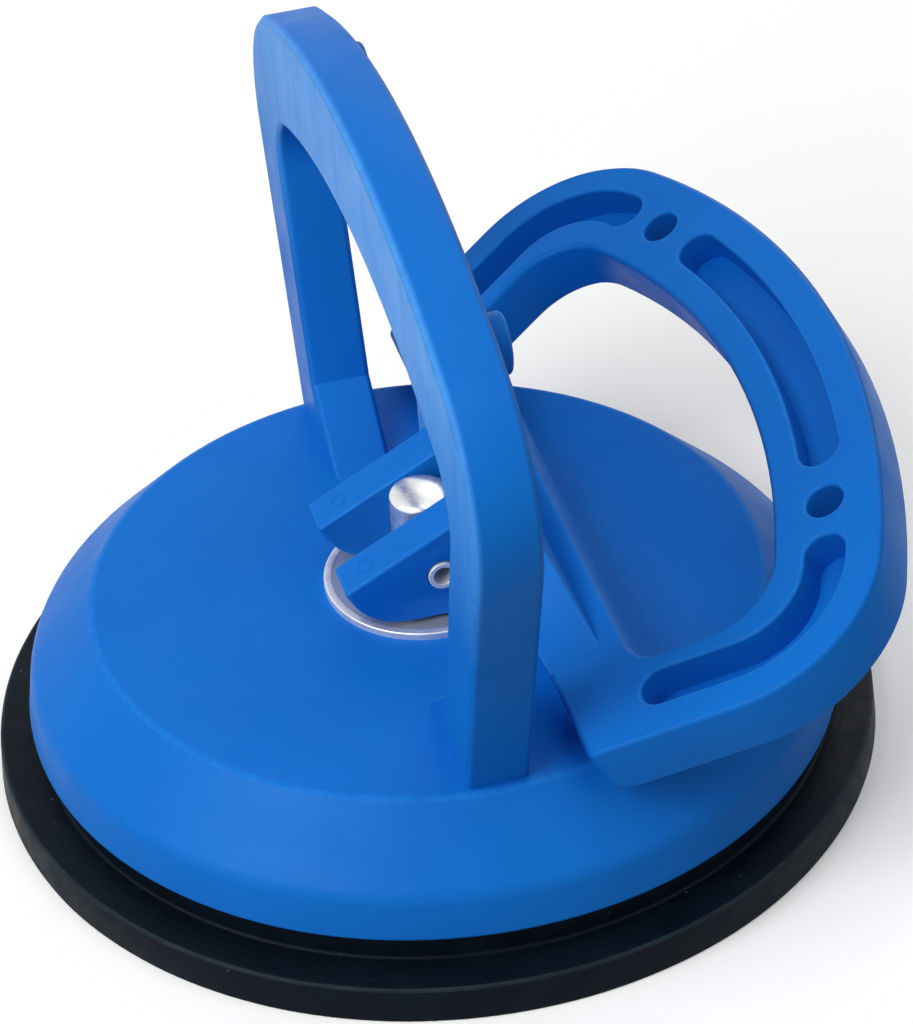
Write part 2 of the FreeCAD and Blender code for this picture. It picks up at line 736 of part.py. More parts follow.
def draw_side_pocket(sketch, side, half, turn, centre, foot, tip, lean):
    """Draw a slot that runs up a leaning side and round its corner, mirrored where side is -1."""

    def place(across, up):
        return (across.value * side, up.value)

    middle = place(*centre)
    direction = (sine(lean), cosine(lean))
    outward = (cosine(lean), -sine(lean))
    offsets = {"outer": half, "inner": -half}
    runs, bends = {}, {}
    for name, offset in offsets.items():
        low = place(foot[0] + outward[0] * offset, foot[1] + outward[1] * offset)
        radius = turn + offset
        bend = place(centre[0] + outward[0] * radius, centre[1] + outward[1] * radius)
        share = radius / turn
        stop = place(
            centre[0] + (tip[0] - centre[0]) * share,
            centre[1] + (tip[1] - centre[1]) * share,
        )
        ends = (bend, stop) if side == 1 else (stop, bend)
        runs[name] = (line(sketch, low, bend), low)
        bends[name] = (arc(sketch, middle, radius.value, *ends), stop)
    start, finish = (1, 2) if side == 1 else (2, 1)
    for name in offsets:
        join(sketch, "Tangent", runs[name][0], 2, bends[name][0], start)
        bind(sketch, ("Radius", bends[name][0]), turn + offsets[name])
        pin_point(sketch, bends[name][0], 3, centre[0] * side, centre[1])
        upright = dim(90)
        bind(sketch, ("Angle", -1, 1, runs[name][0], 1), upright - lean * side)
    low_ends = (runs["inner"][1], runs["outer"][1])
    top_ends = (bends["outer"][1], bends["inner"][1])
    if side == -1:
        low_ends, top_ends = low_ends[::-1], top_ends[::-1]
    low_cap = arc(sketch, place(*foot), half.value, *low_ends)
    top_cap = arc(sketch, place(*tip), half.value, *top_ends)
    join(sketch, "Tangent", low_cap, start, runs["inner"][0], 1)
    join(sketch, "Tangent", low_cap, finish, runs["outer"][0], 1)
    join(sketch, "Tangent", top_cap, start, bends["outer"][0], finish)
    join(sketch, "Tangent", top_cap, finish, bends["inner"][0], finish)
    bind(sketch, ("DistanceY", -1, 1, low_cap, 3), foot[1])
    bind(sketch, ("DistanceX", -1, 1, top_cap, 3), tip[0] * side)


def make_pad(doc, size):
    """Rubber pad: a shallow cup with a sealing lip, a seat for the skirt and a boss round the plate."""
    body = new_body(doc, "suction_pad")
    seat = size.skirt_radius - size.pad_shoulder_inset
    spigot = size.skirt_radius - size.skirt_draft - size.wall - size.soft_clearance
    spigot_inner = spigot - size.pad_spigot_width
    cavity = size.plate_radius + size.soft_clearance
    cavity_top = size.plate_top + size.soft_clearance
    boss_top = cavity_top + size.pad_cover
    profile = sketch_on(body, "PadProfile", "XZ_Plane")
    mouth = size.collar_radius + size.soft_clearance
    web_top = size.pad_rim_height
    lip = size.pad_radius - size.pad_lip_width
    rim = size.pad_radius - size.pad_rim_draft
    polygon(profile, [
        (0, size.pad_cup_depth),
        (lip - size.pad_cup_slope, size.pad_cup_depth),
        (lip, 0),
        (size.pad_radius, 0),
        (rim, web_top - size.pad_rim_chamfer),
        (rim - size.pad_rim_chamfer, web_top),
        (seat, web_top),
        (seat, size.skirt_bottom),
        (spigot, size.skirt_bottom),
        (spigot, size.skirt_bottom + size.pad_spigot_height),
        (spigot_inner, size.skirt_bottom + size.pad_spigot_height),
        (spigot_inner, web_top),
        (cavity + size.pad_cover, web_top),
        (cavity + size.pad_cover, boss_top),
        (mouth, boss_top),
        (mouth, cavity_top),
        (cavity, cavity_top),
        (cavity, size.plate_bottom - size.soft_clearance),
        (0, size.plate_bottom - size.soft_clearance),
    ])
    revolve(body, profile, "Pad")
    doc.recompute()
    return body


def make_stud(doc, size):
    """Pull stud: a domed steel post with a cross hole, a collar and a riveted end."""
    body = new_body(doc, "pull_stud")
    profile = sketch_on(body, "StudProfile", "XZ_Plane")
    shoulder = size.stud_top - size.stud_crown
    collar_top = size.plate_top + size.collar_height
    polygon(profile, [
        (0, size.plate_bottom),
        (size.spigot_radius + size.rivet_flare, size.plate_bottom),
        (size.spigot_radius, size.plate_bottom + size.rivet_flare),
        (size.spigot_radius, size.plate_top),
        (size.collar_radius, size.plate_top),
        (size.collar_radius, collar_top),
        (size.stud_radius, collar_top),
        (size.stud_radius, shoulder - size.stud_chamfer),
        (size.stud_radius - size.stud_chamfer, shoulder),
        (0, size.stud_top),
    ])
    revolve(body, profile, "Post")
    doc.recompute()
    hole = sketch_on(body, "PinHole", "XZ_Plane")
    circle(hole, 0, size.pin_height, size.pin_radius)
    pocket(body, hole, "PinHoleCut")
    return body


def make_plate(doc, size):
    """Anchor plate: a steel disc inside the pad, countersunk below for the stud's riveted end."""
    body = new_body(doc, "anchor_plate")
    profile = sketch_on(body, "PlateProfile", "XZ_Plane")
    polygon(profile, [
        (size.spigot_radius + size.rivet_flare, size.plate_bottom),
        (size.plate_radius, size.plate_bottom),
        (size.plate_radius, size.plate_top),
        (size.spigot_radius, size.plate_top),
        (size.spigot_radius, size.plate_bottom + size.rivet_flare),
    ])
    revolve(body, profile, "Plate")
    doc.recompute()
    return body


def make_washer(doc, size):
    """Thrust washer on the housing's top, with a raised rim, for the fork to bear on."""
    body = new_body(doc, "thrust_washer")
    profile = sketch_on(body, "WasherProfile", "XZ_Plane")
    rim_inner = size.washer_radius - size.washer_rim_width
    polygon(profile, [
        (size.stud_radius + size.washer_clearance, size.deck_height),
        (size.washer_radius, size.deck_height),
        (size.washer_radius, size.rim_top),
        (rim_inner, size.rim_top),
        (rim_inner - size.washer_rim, size.washer_top),
        (size.stud_radius + size.washer_clearance, size.washer_top),
    ])
    revolve(body, profile, "Washer")
    doc.recompute()
    return body


def make_pin(doc, size):
    """Hinge pin: a slotted, rolled spring pin, tight in the stud and free in the prongs."""
    body = new_body(doc, "roll_pin")
    ring = sketch_on(body, "PinRing", "XZ_Plane")
    circle(ring, 0, 0, size.pin_radius)
    circle(ring, 0, 0, size.pin_radius - size.pin_wall)
    length = (size.prong_half_width + size.pin_proud) * 2
    pad(body, ring, length, "PinTube", symmetric=True)
    doc.recompute()
    slot = sketch_on(body, "PinSlot", "XZ_Plane")
    half = size.pin_slot / 2
    polygon(slot, [(0, -half), (size.pin_radius * 2, -half), (size.pin_radius * 2, half), (0, half)])
    pocket(body, slot, "PinSlotCut")
    body.Placement = Placement(Vector(0, 0, size.pin_height.value), Rotation())
    body.setExpression("Placement.Base.z", size.pin_height.text)
    doc.recompute()
    return body


def check(doc, bodies):
    """Stop if any object failed to compute or any piece isn't a valid solid."""
    failed = [item.Name for item in doc.Objects if {"Invalid", "Error"} & set(item.State)]
    if failed:
        raise RuntimeError(f"objects that failed: {failed}")
    for body in bodies:
        shape = body.Shape
        if shape.isNull() or not shape.isValid() or len(shape.Solids) != 1:
            raise RuntimeError(f"{body.Label} isn't one valid solid")


def main():
    doc = FreeCAD.newDocument("suction_lifter")
    size = Sizes(make_sheet(doc))
    doc.recompute()
    makers = (make_housing, make_lever, make_pad, make_stud, make_plate, make_washer, make_pin)
    bodies = [make(doc, size) for make in makers]
    doc.recompute()
    check(doc, bodies)
    os.makedirs("parts", exist_ok=True)
    for body in bodies:
        body.Shape.exportStep(f"parts/{body.Label}.step")
        print(body.Label, round(body.Shape.Volume, 1), "mm3")


main()
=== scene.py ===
"""Looks of a hand-held suction lifter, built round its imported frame.

The housing and the lever are softened copies of their CAD solids, the rubber pad, the stud and the
washer are turned from their sections by Geometry Nodes, and every surface has a node-based finish.
Lengths are in metres and angles in degrees, unless a name says otherwise.
"""

import json
import logging
import math
from abc import ABC, abstractmethod
from collections.abc import Iterator
from contextlib import contextmanager
from dataclasses import dataclass, replace
from enum import Enum

import bmesh
import bpy
from mathutils import Matrix, Vector
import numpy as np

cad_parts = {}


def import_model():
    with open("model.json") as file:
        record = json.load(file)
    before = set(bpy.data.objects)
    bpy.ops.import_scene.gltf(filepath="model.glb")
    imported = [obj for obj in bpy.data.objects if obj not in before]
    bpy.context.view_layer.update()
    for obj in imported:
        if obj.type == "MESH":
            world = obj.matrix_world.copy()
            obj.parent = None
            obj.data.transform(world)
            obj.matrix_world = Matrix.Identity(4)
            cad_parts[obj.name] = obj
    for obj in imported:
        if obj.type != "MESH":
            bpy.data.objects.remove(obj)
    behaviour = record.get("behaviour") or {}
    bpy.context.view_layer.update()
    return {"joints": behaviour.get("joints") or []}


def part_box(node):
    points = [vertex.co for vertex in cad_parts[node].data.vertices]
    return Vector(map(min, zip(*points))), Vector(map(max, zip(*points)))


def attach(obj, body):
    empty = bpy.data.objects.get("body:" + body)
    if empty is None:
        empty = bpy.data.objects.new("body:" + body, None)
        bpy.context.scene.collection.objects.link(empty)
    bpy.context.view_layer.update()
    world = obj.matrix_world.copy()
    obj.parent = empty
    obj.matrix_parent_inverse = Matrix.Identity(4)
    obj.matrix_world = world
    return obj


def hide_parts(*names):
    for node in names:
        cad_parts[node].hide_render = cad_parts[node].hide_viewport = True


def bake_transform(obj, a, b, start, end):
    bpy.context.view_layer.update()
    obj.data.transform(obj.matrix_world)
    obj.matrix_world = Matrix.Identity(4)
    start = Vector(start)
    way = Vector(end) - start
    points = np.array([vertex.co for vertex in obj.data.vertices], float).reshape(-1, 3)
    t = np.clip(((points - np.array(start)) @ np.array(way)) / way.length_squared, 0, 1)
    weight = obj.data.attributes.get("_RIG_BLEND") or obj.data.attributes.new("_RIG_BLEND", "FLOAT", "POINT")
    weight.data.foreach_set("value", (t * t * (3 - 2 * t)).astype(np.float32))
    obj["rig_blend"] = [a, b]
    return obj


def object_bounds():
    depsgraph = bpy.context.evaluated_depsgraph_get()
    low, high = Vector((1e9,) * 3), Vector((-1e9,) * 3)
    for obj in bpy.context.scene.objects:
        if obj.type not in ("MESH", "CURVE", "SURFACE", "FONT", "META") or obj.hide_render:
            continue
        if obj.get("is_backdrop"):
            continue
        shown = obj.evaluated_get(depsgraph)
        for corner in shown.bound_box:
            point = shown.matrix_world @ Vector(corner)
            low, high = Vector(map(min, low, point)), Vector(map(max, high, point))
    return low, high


LOG = logging.getLogger("suction_lifter")
MM = 0.001
WORN_EDGE = "worn_edge"
WHITE = (1.0, 1.0, 1.0, 1.0)

# Distance within which a solid's points are welded, and angle up to which its facets are joined.
WELD = 0.002 * MM
FLAT = 0.3

# Reach of a rounding along its two sides, in radii, with some room.
ROUNDING_REACH = 1.4

Colour = tuple[float, float, float]
Corner = tuple[float, float, float]
Span = tuple[float, float]


class Body(Enum):
    """Moving bodies of the lifter."""

    BASE = "base"
    STUD = "stud"
    LEVER = "lever"


class Slot(Enum):
    """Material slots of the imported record."""

    PLASTIC = "blue_plastic"
    RUBBER = "black_rubber"
    BRIGHT = "bright_steel"
    PLAIN = "plain_steel"


class Maths(Enum):
    """Sums that a Math node can do."""

    ADD = "ADD"
    TAKE = "SUBTRACT"
    TIMES = "MULTIPLY"
    GREATEST = "MAXIMUM"
    COSINE = "COSINE"
    SINE = "SINE"


# Node graphs ------------------------------------------------------------------


class NodeGraph:
    """A node tree, built up from small steps."""

    def __init__(self, tree: bpy.types.NodeTree) -> None:
        """Starts with an empty tree.

        Args:
            tree: Tree to build in, which is cleared.
        """
        self.tree = tree
        self.tree.nodes.clear()

    def add(self, kind: str, feeds: dict | None = None, **settings: object) -> bpy.types.Node:
        """Adds a node with its settings, and feeds its inputs.

        Args:
            kind: Type name of the node.
            feeds: What to feed, by the name or number of the input.
            **settings: Properties of the node to set.

        Returns:
            The new node.
        """
        node = self.tree.nodes.new(kind)
        for name, value in settings.items():
            setattr(node, name, value)
        for key, value in (feeds or {}).items():
            self.feed(node.inputs[key], value)
        return node

    def feed(self, socket: bpy.types.NodeSocket, value: object) -> None:
        """Links an output to a socket, or sets the socket's own value.

        Args:
            socket: Input to feed.
            value: Another node's output, or a plain number, colour or vector.
        """
        if isinstance(value, bpy.types.NodeSocket):
            self.tree.links.new(value, socket)
        else:
            socket.default_value = value

    def calculate(self, way: Maths, first: object, second: object = 0.0) -> bpy.types.NodeSocket:
        """Returns the output of a Math node on one or two outputs or numbers."""
        return self.add("ShaderNodeMath", {0: first, 1: second}, operation=way.value).outputs[0]

    def remap(self, value: object, old: Span, new: tuple = (0.0, 1.0)) -> bpy.types.NodeSocket:
        """Returns a value moved from one range to another, and clamped there.

        Args:
            value: Output to move.
            old: Range that it comes from.
            new: Range that it goes to.

        Returns:
            The clamped output.
        """
        names = ("Value", "From Min", "From Max", "To Min", "To Max")
        feeds = dict(zip(names, (value, *old, *new)))
        return self.add("ShaderNodeMapRange", feeds, clamp=True).outputs[0]


@dataclass(frozen=True)
class Waves:
    """Noise, which is drawn out where it has a stretch.

    The scale is in waves to the metre, the detail is how many finer octaves are laid over the
    first, and the span is the range that the noise's values are taken from.
    """

    scale: float = 1.0
    detail: float = 2.0
    span: Span = (0.3, 0.7)
    stretch: Corner | None = None
    turn: Corner = (0.0, 0.0, 0.0)


@dataclass(frozen=True)
class Specks:
    """Small separate specks, which lie in patches.

    The scale is in cells to the metre, the size is a speck's radius as a share of its cell, and the
    share is how much of the surface has specks.
    """

    scale: float
    size: float
    share: float
    core: float = 0.5
    patch_scale: float = 0.31
    patch_edge: float = 0.02


class FinishGraph(NodeGraph):
    """One node material round a Principled shader."""

    # Sockets of a Mix node for colours, whose names are shared with other types of value.
    SHARE, FIRST, SECOND, COLOUR = 0, 6, 7, 2

    def __init__(self, name: str) -> None:
        """Starts an empty material.

        Args:
            name: Name of the material.
        """
        self.material = bpy.data.materials.new(name)
        self.material.use_nodes = True
        super().__init__(self.material.node_tree)
        self.shader = self.add("ShaderNodeBsdfPrincipled")
        self.add("ShaderNodeOutputMaterial", {"Surface": self.shader.outputs["BSDF"]})
        self.place = self.add("ShaderNodeTexCoord").outputs["Object"]

    def turned(self, stretch: Corner, turn: Corner) -> bpy.types.NodeSocket:
        """Returns the piece's coordinates, turned and then stretched.

        Args:
            stretch: Factor along each axis.
            turn: Turn about each axis, in degrees.

        Returns:
            The vector output.
        """
        turner = self.add(
            "ShaderNodeVectorRotate",
            {"Vector": self.place, "Rotation": [math.radians(angle) for angle in turn]},
            rotation_type="EULER_XYZ",
            invert=True,
        )
        feeds = {0: turner.outputs["Vector"], 1: stretch}
        return self.add("ShaderNodeVectorMath", feeds, operation="MULTIPLY").outputs["Vector"]

    def noise(self, waves: Waves) -> bpy.types.NodeSocket:
        """Returns the plain value of a noise, about one half."""
        where = self.turned(waves.stretch, waves.turn) if waves.stretch else self.place
        feeds = {"Vector": where, "Scale": waves.scale, "Detail": waves.detail}
        return self.add("ShaderNodeTexNoise", feeds).outputs[0]

    def spread(self, waves: Waves, new: Span = (0.0, 1.0)) -> bpy.types.NodeSocket:
        """Returns a noise whose span is moved to a new range."""
        return self.remap(self.noise(waves), waves.span, new)

    def specks(self, specks: Specks) -> bpy.types.NodeSocket:
        """Returns a mask that is 1 on a speck and 0 elsewhere."""
        feeds = {"Vector": self.place, "Scale": specks.scale}
        cells = self.add("ShaderNodeTexVoronoi", feeds, feature="F1")
        near = self.remap(cells.outputs["Distance"], (specks.size, specks.size * specks.core))
        bare = 1.0 - specks.share
        patches = Waves(specks.scale * specks.patch_scale, 1.0, (bare, bare + specks.patch_edge))
        return self.calculate(Maths.TIMES, near, self.spread(patches))

    def rings(self, scale: float, distortion: float) -> bpy.types.NodeSocket:
        """Returns the value of rings about the upright axis, as turning leaves them."""
        feeds = {"Vector": self.place, "Scale": scale, "Distortion": distortion}
        wave = self.add("ShaderNodeTexWave", feeds, wave_type="RINGS", rings_direction="Z")
        return wave.outputs["Fac"]

    def mix(self, share: object, first: object, second: object) -> bpy.types.NodeSocket:
        """Returns a colour between two others.

        Args:
            share: How much of the second there is, from 0 to 1.
            first: A colour or an output.
            second: A colour or an output.

        Returns:
            The colour output.
        """
        node = self.add("ShaderNodeMix", {self.SHARE: share}, data_type="RGBA")
        for socket, value in ((self.FIRST, first), (self.SECOND, second)):
            plain = not isinstance(value, bpy.types.NodeSocket)
            self.feed(node.inputs[socket], (*value, 1.0) if plain else value)
        return node.outputs[self.COLOUR]

    def worn(self, body: object, wear: Waves, span: Span, pale: Colour) -> bpy.types.NodeSocket:
        """Returns a colour that pales at the marked edges.

        Args:
            body: Colour away from the edges.
            wear: Noise that breaks the wear up.
            span: How much of the pale colour an edge has, least and most.
            pale: Colour of a worn edge.

        Returns:
            The colour output.
        """
        marked = self.add("ShaderNodeAttribute", attribute_name=WORN_EDGE).outputs["Fac"]
        return self.mix(self.calculate(Maths.TIMES, marked, self.spread(wear, span)), body, pale)

    def bump(
        self,
        height: bpy.types.NodeSocket,
        depth: float,
        under: bpy.types.NodeSocket | None = None,
    ) -> bpy.types.NodeSocket:
        """Returns a normal raised by a height.

        Args:
            height: Height from 0 to 1.
            depth: What a height of 1 stands for, in metres.
            under: Normal of a coarser bump that this one lies on.

        Returns:
            The normal output.
        """
        feeds = {"Strength": 1.0, "Distance": depth, "Height": height}
        if under is not None:
            feeds["Normal"] = under
        return self.add("ShaderNodeBump", feeds).outputs["Normal"]

    def finish(self, **values: object) -> bpy.types.Material:
        """Feeds the shader and returns the material.

        Args:
            **values: Outputs, numbers or colours by socket name, with _ for a space.

        Returns:
            The finished material.
        """
        for name, value in values.items():
            self.feed(self.shader.inputs[name.replace("_", " ")], value)
        return self.material


class FormGraph(NodeGraph):
    """A Geometry Nodes tree that makes one finished mesh."""

    def __init__(self, name: str, **inputs: str) -> None:
        """Starts a tree with its inputs and its output.

        Args:
            name: Name of the tree.
            **inputs: Type name of each input's socket, by the input's name.
        """
        super().__init__(bpy.data.node_groups.new(name, "GeometryNodeTree"))
        sockets = self.tree.interface
        self.keys = {
            key: sockets.new_socket(key, in_out="INPUT", socket_type=kind).identifier
            for key, kind in {**inputs, "finish": "NodeSocketMaterial"}.items()
        }
        sockets.new_socket("form", in_out="OUTPUT", socket_type="NodeSocketGeometry")
        self.given = self.add("NodeGroupInput").outputs

    def close(self, geometry: bpy.types.NodeSocket) -> None:
        """Ends the tree: copies become real, and the mesh takes its finish.

        Args:
            geometry: Output that has the form.
        """
        real = self.add("GeometryNodeRealizeInstances", {0: geometry})
        feeds = {"Geometry": real.outputs[0], "Material": self.given["finish"]}
        dressed = self.add("GeometryNodeSetMaterial", feeds)
        self.add("NodeGroupOutput", {0: dressed.outputs[0]})

    def form(self, piece: bpy.types.Object, **values: object) -> None:
        """Gives a piece the tree's mesh in place of its own.

        Args:
            piece: The object.
            **values: Values of the tree's inputs, by name.
        """
        modifier = piece.modifiers.new(self.tree.name, "NODES")
        modifier.node_group = self.tree
        for key, value in values.items():
            modifier[self.keys[key]] = value
        make_plain(piece)
        dress(piece.data, values["finish"])


# Finishes ---------------------------------------------------------------------


class Finish(ABC):
    """A finish that can be made into a material."""

    @abstractmethod
    def material(self) -> bpy.types.Material:
        """Builds the material."""


@dataclass(frozen=True)
class SatinPlastic(Finish):
    """Injection-moulded plastic: satin, faintly streaked along its flow, paler at handled edges, and with
    painted sheen on the crest's front where heights are given.
    """

    name: str
    colour: Colour = (0.0050, 0.160, 0.600)
    deep: Colour = (0.0040, 0.142, 0.560)
    pale: Colour = (0.012, 0.205, 0.680)
    cloud: Waves = Waves(45.0, 3.0)
    flow: Waves = Waves(detail=4.0, stretch=(420.0, 420.0, 16.0))
    streak_span: Span = (0.35, 0.75)
    streaking: float = 0.35
    wear: Waves = Waves(700.0, 3.0, (0.35, 0.65))
    worn: Span = (0.1, 0.6)
    # Painted sheen: the crest's front is paled towards this colour as if lit, broken up by the flow streaks.
    bloom_and_painted_sheen: Colour = (0.085, 0.37, 0.90)
    painted_sheen_heights: Span | None = None
    painted_sheen_depths: Span = (-5.4 * MM, -6.2 * MM)
    bloom_and_painted_sheen_share: Span = (0.6, 0.9)
    roughness: Span = (0.38, 0.50)
    polish: Waves = Waves(160.0, 4.0)
    scratches: Waves = Waves(1.0, 1.0, (0.70, 0.78), (1500.0, 60.0, 900.0), (14.0, 22.0, 35.0))
    scuffing: float = 0.08
    sink: Waves = Waves(70.0, 1.0)
    sink_depth: float = 0.05 * MM
    grain: Waves = Waves(3200.0, 2.0)
    grain_depth: float = 0.006 * MM
    gloss: float = 0.08
    refraction: float = 1.5

    def material(self) -> bpy.types.Material:
        """Builds the plastic.

        Returns:
            The material.
        """
        graph = FinishGraph(self.name)
        flow = graph.noise(self.flow)
        body = graph.mix(graph.spread(self.cloud), self.deep, self.colour)
        streak = graph.remap(flow, self.streak_span, (0.0, self.streaking))
        body = graph.mix(streak, body, self.colour)
        body = graph.worn(body, self.wear, self.worn, self.pale)
        # Painted sheen on the front faces high on the crest.
        if self.painted_sheen_heights is not None:
            body = graph.mix(self._painted_sheen(graph, flow), body, self.bloom_and_painted_sheen)
        scuff = graph.calculate(Maths.TIMES, graph.spread(self.scratches), self.scuffing)
        rough = graph.calculate(Maths.ADD, graph.spread(self.polish, self.roughness), scuff)
        sink = graph.bump(graph.noise(self.sink), self.sink_depth)
        grain = graph.bump(graph.noise(self.grain), self.grain_depth, sink)
        return graph.finish(
            Base_Color=body,
            Roughness=rough,
            Normal=grain,
            IOR=self.refraction,
            Specular_IOR_Level=self.gloss,
        )

    def _painted_sheen(self, graph: FinishGraph, flow: bpy.types.NodeSocket) -> bpy.types.NodeSocket:
        """Returns the mask of the painted sheen at the front of the crest, broken up by the flow streaks.

        Args:
            graph: Graph of the material.
            flow: Noise that is drawn out along the flow.

        Returns:
            The mask output.
        """
        along = graph.add("ShaderNodeSeparateXYZ", {0: graph.place})
        high = graph.remap(along.outputs["Z"], self.painted_sheen_heights)
        front = graph.remap(along.outputs["X"], self.painted_sheen_depths)
        broken = graph.remap(flow, self.flow.span, self.bloom_and_painted_sheen_share)
        return graph.calculate(Maths.TIMES, graph.calculate(Maths.TIMES, high, front), broken)


@dataclass(frozen=True)
class MatteRubber(Finish):
    """Black rubber: matte, dusty in places, greyed where its rim is rubbed."""

    name: str = "matte_black_rubber"
    colour: Colour = (0.0005, 0.0032, 0.0075)
    # In the rubber this colour is a paler tone laid at random by noise, with no painted sheen.
    bloom_and_painted_sheen: Colour = (0.0012, 0.0065, 0.0130)
    cloud: Waves = Waves(120.0, 5.0, (0.42, 0.72))
    bloom_and_painted_sheen_share: float = 0.8
    rubbed: Colour = (0.020, 0.036, 0.046)
    wear: Waves = Waves(260.0, 4.0)
    worn: Span = (0.3, 0.7)
    dust: Colour = (0.055, 0.075, 0.085)
    dusting: Specks = Specks(700.0, 0.16, 0.36)
    roughness: Span = (0.42, 0.56)
    polish: Waves = Waves(300.0, 3.0)
    ring_scale: float = 260.0
    ring_distortion: float = 0.6
    ring_depth: float = 0.01 * MM
    grain: Waves = Waves(1900.0, 3.0)
    grain_depth: float = 0.02 * MM
    gloss: float = 0.09
    refraction: float = 1.5

    def material(self) -> bpy.types.Material:
        """Builds the rubber.

        Returns:
            The material.
        """
        graph = FinishGraph(self.name)
        bloom_and_painted_sheen = graph.spread(self.cloud, (0.0, self.bloom_and_painted_sheen_share))
        body = graph.mix(bloom_and_painted_sheen, self.colour, self.bloom_and_painted_sheen)
        body = graph.worn(body, self.wear, self.worn, self.rubbed)
        body = graph.mix(graph.specks(self.dusting), body, self.dust)
        turned = graph.bump(graph.rings(self.ring_scale, self.ring_distortion), self.ring_depth)
        return graph.finish(
            Base_Color=body,
            Roughness=graph.spread(self.polish, self.roughness),
            Normal=graph.bump(graph.noise(self.grain), self.grain_depth, turned),
            IOR=self.refraction,
            Specular_IOR_Level=self.gloss,
        )


@dataclass(frozen=True)
class Steel(Finish):
    """Plated steel with turned rings, thin scratches and a little tarnish."""

    name: str
    colour: Colour = (0.80, 0.81, 0.82)
    tarnish: Colour = (0.64, 0.65, 0.66)
    stain: Waves = Waves(420.0, 5.0, (0.48, 0.72))
    staining: float = 0.55
    roughness: Span = (0.20, 0.32)
    polish: Waves = Waves(900.0, 3.0)
    ring_scale: float = 700.0
    ring_distortion: float = 1.2
    ring_depth: float = 0.002 * MM
    scratches: Waves = Waves(1.0, 1.0, (0.68, 0.74), (2600.0, 90.0, 2600.0), (0.0, 0.0, 27.0))
    scratch_depth: float = 0.0015 * MM
    metal: float = 1.0

    def material(self) -> bpy.types.Material:
        """Builds the steel.

        Returns:
            The material.
        """
        graph = FinishGraph(self.name)
        stain = graph.spread(self.stain, (0.0, self.staining))
        turned = graph.bump(graph.rings(self.ring_scale, self.ring_distortion), self.ring_depth)
        scratched = graph.spread(self.scratches, (1.0, 0.0))
        return graph.finish(
            Base_Color=graph.mix(stain, self.colour, self.tarnish),
            Roughness=graph.spread(self.polish, self.roughness),
            Normal=graph.bump(scratched, self.scratch_depth, turned),
            Metallic=self.metal,
        )


# Mesh helpers -----------------------------------------------------------------


def new_object(name: str, data: bpy.types.ID) -> bpy.types.Object:
    """Makes an object in the scene.

    Args:
        name: Name of the object.
        data: Its mesh, light or camera.

    Returns:
        The object, at the origin.
    """
    made = bpy.data.objects.new(name, data)
    bpy.context.scene.collection.objects.link(made)
    return made


def make_plain(piece: bpy.types.Object) -> None:
    """Turns a piece with modifiers into a plain mesh with none.

    Args:
        piece: The object, whose mesh is replaced by its evaluated one.
    """
    bpy.context.view_layer.update()
    graph = bpy.context.evaluated_depsgraph_get()
    mesh = bpy.data.meshes.new_from_object(
        piece.evaluated_get(graph), preserve_all_data_layers=True, depsgraph=graph
    )
    old = piece.data
    piece.modifiers.clear()
    piece.data = mesh
    bpy.data.meshes.remove(old)
    mesh.name = piece.name


def dress(mesh: bpy.types.Mesh, finish: bpy.types.Material) -> None:
    """Gives a mesh one finish all over, in place of the slots that it has."""
    mesh.materials.clear()
    mesh.materials.append(finish)


@contextmanager
def editing(mesh: bpy.types.Mesh) -> Iterator[bmesh.types.BMesh]:
    """Opens a mesh for editing, and writes it back at the end.

    Args:
        mesh: Mesh to edit.

    Yields:
        The open mesh.
    """
    shape = bmesh.new()
    shape.from_mesh(mesh)
    yield shape
    shape.to_mesh(mesh)
    shape.free()


def copy_solid(node: str, name: str, finish: bpy.types.Material) -> bpy.types.Object:
    """Copies a CAD solid, welded, and with the triangles that lie in one plane joined.

    Args:
        node: CAD node to copy.
        name: Name of the copy.
        finish: Its material.

    Returns:
        The copy, smooth all over.
    """
    mesh = bpy.data.objects[node].data.copy()
    mesh.name = name
    with editing(mesh) as shape:
        bmesh.ops.remove_doubles(shape, verts=shape.verts, dist=WELD)
        bmesh.ops.dissolve_limit(
            shape, angle_limit=math.radians(FLAT), verts=shape.verts, edges=shape.edges
        )
        for face in shape.faces:
            face.smooth = True
    for layer in [item.name for item in mesh.attributes if "normal" in item.name]:
        mesh.attributes.remove(mesh.attributes[layer])
    dress(mesh, finish)
    return new_object(name, mesh)


def mark_corners(mesh: bpy.types.Mesh, marked: list[bool]) -> None:
    """Writes the worn-edge attribute, 1 at the corners of marked faces and 0 elsewhere.

    Args:
        mesh: Mesh to write to.
        marked: Whether each face is one.
    """
    layer = mesh.attributes.new(WORN_EDGE, "FLOAT", "CORNER")
    values = [0.0] * len(mesh.loops)
    for face in mesh.polygons:
        if marked[face.index]:
            for corner in face.loop_indices:
                values[corner] = 1.0
    layer.data.foreach_set("value", values)


def seat(piece: bpy.types.Object, body: Body, slot: Slot, *nodes: str) -> None:
    """Makes a finished piece ride on a body and stand for CAD nodes.

    Args:
        piece: The finished piece.
        body: Body that carries it.
        slot: Record slot of the piece's material; not used.
        *nodes: CAD nodes that it stands for.
    """
    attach(piece, body.value)
    if nodes:
        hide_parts(*nodes)
    LOG.info("%s: %d faces, rides on %s", piece.name, len(piece.data.polygons), body.value)


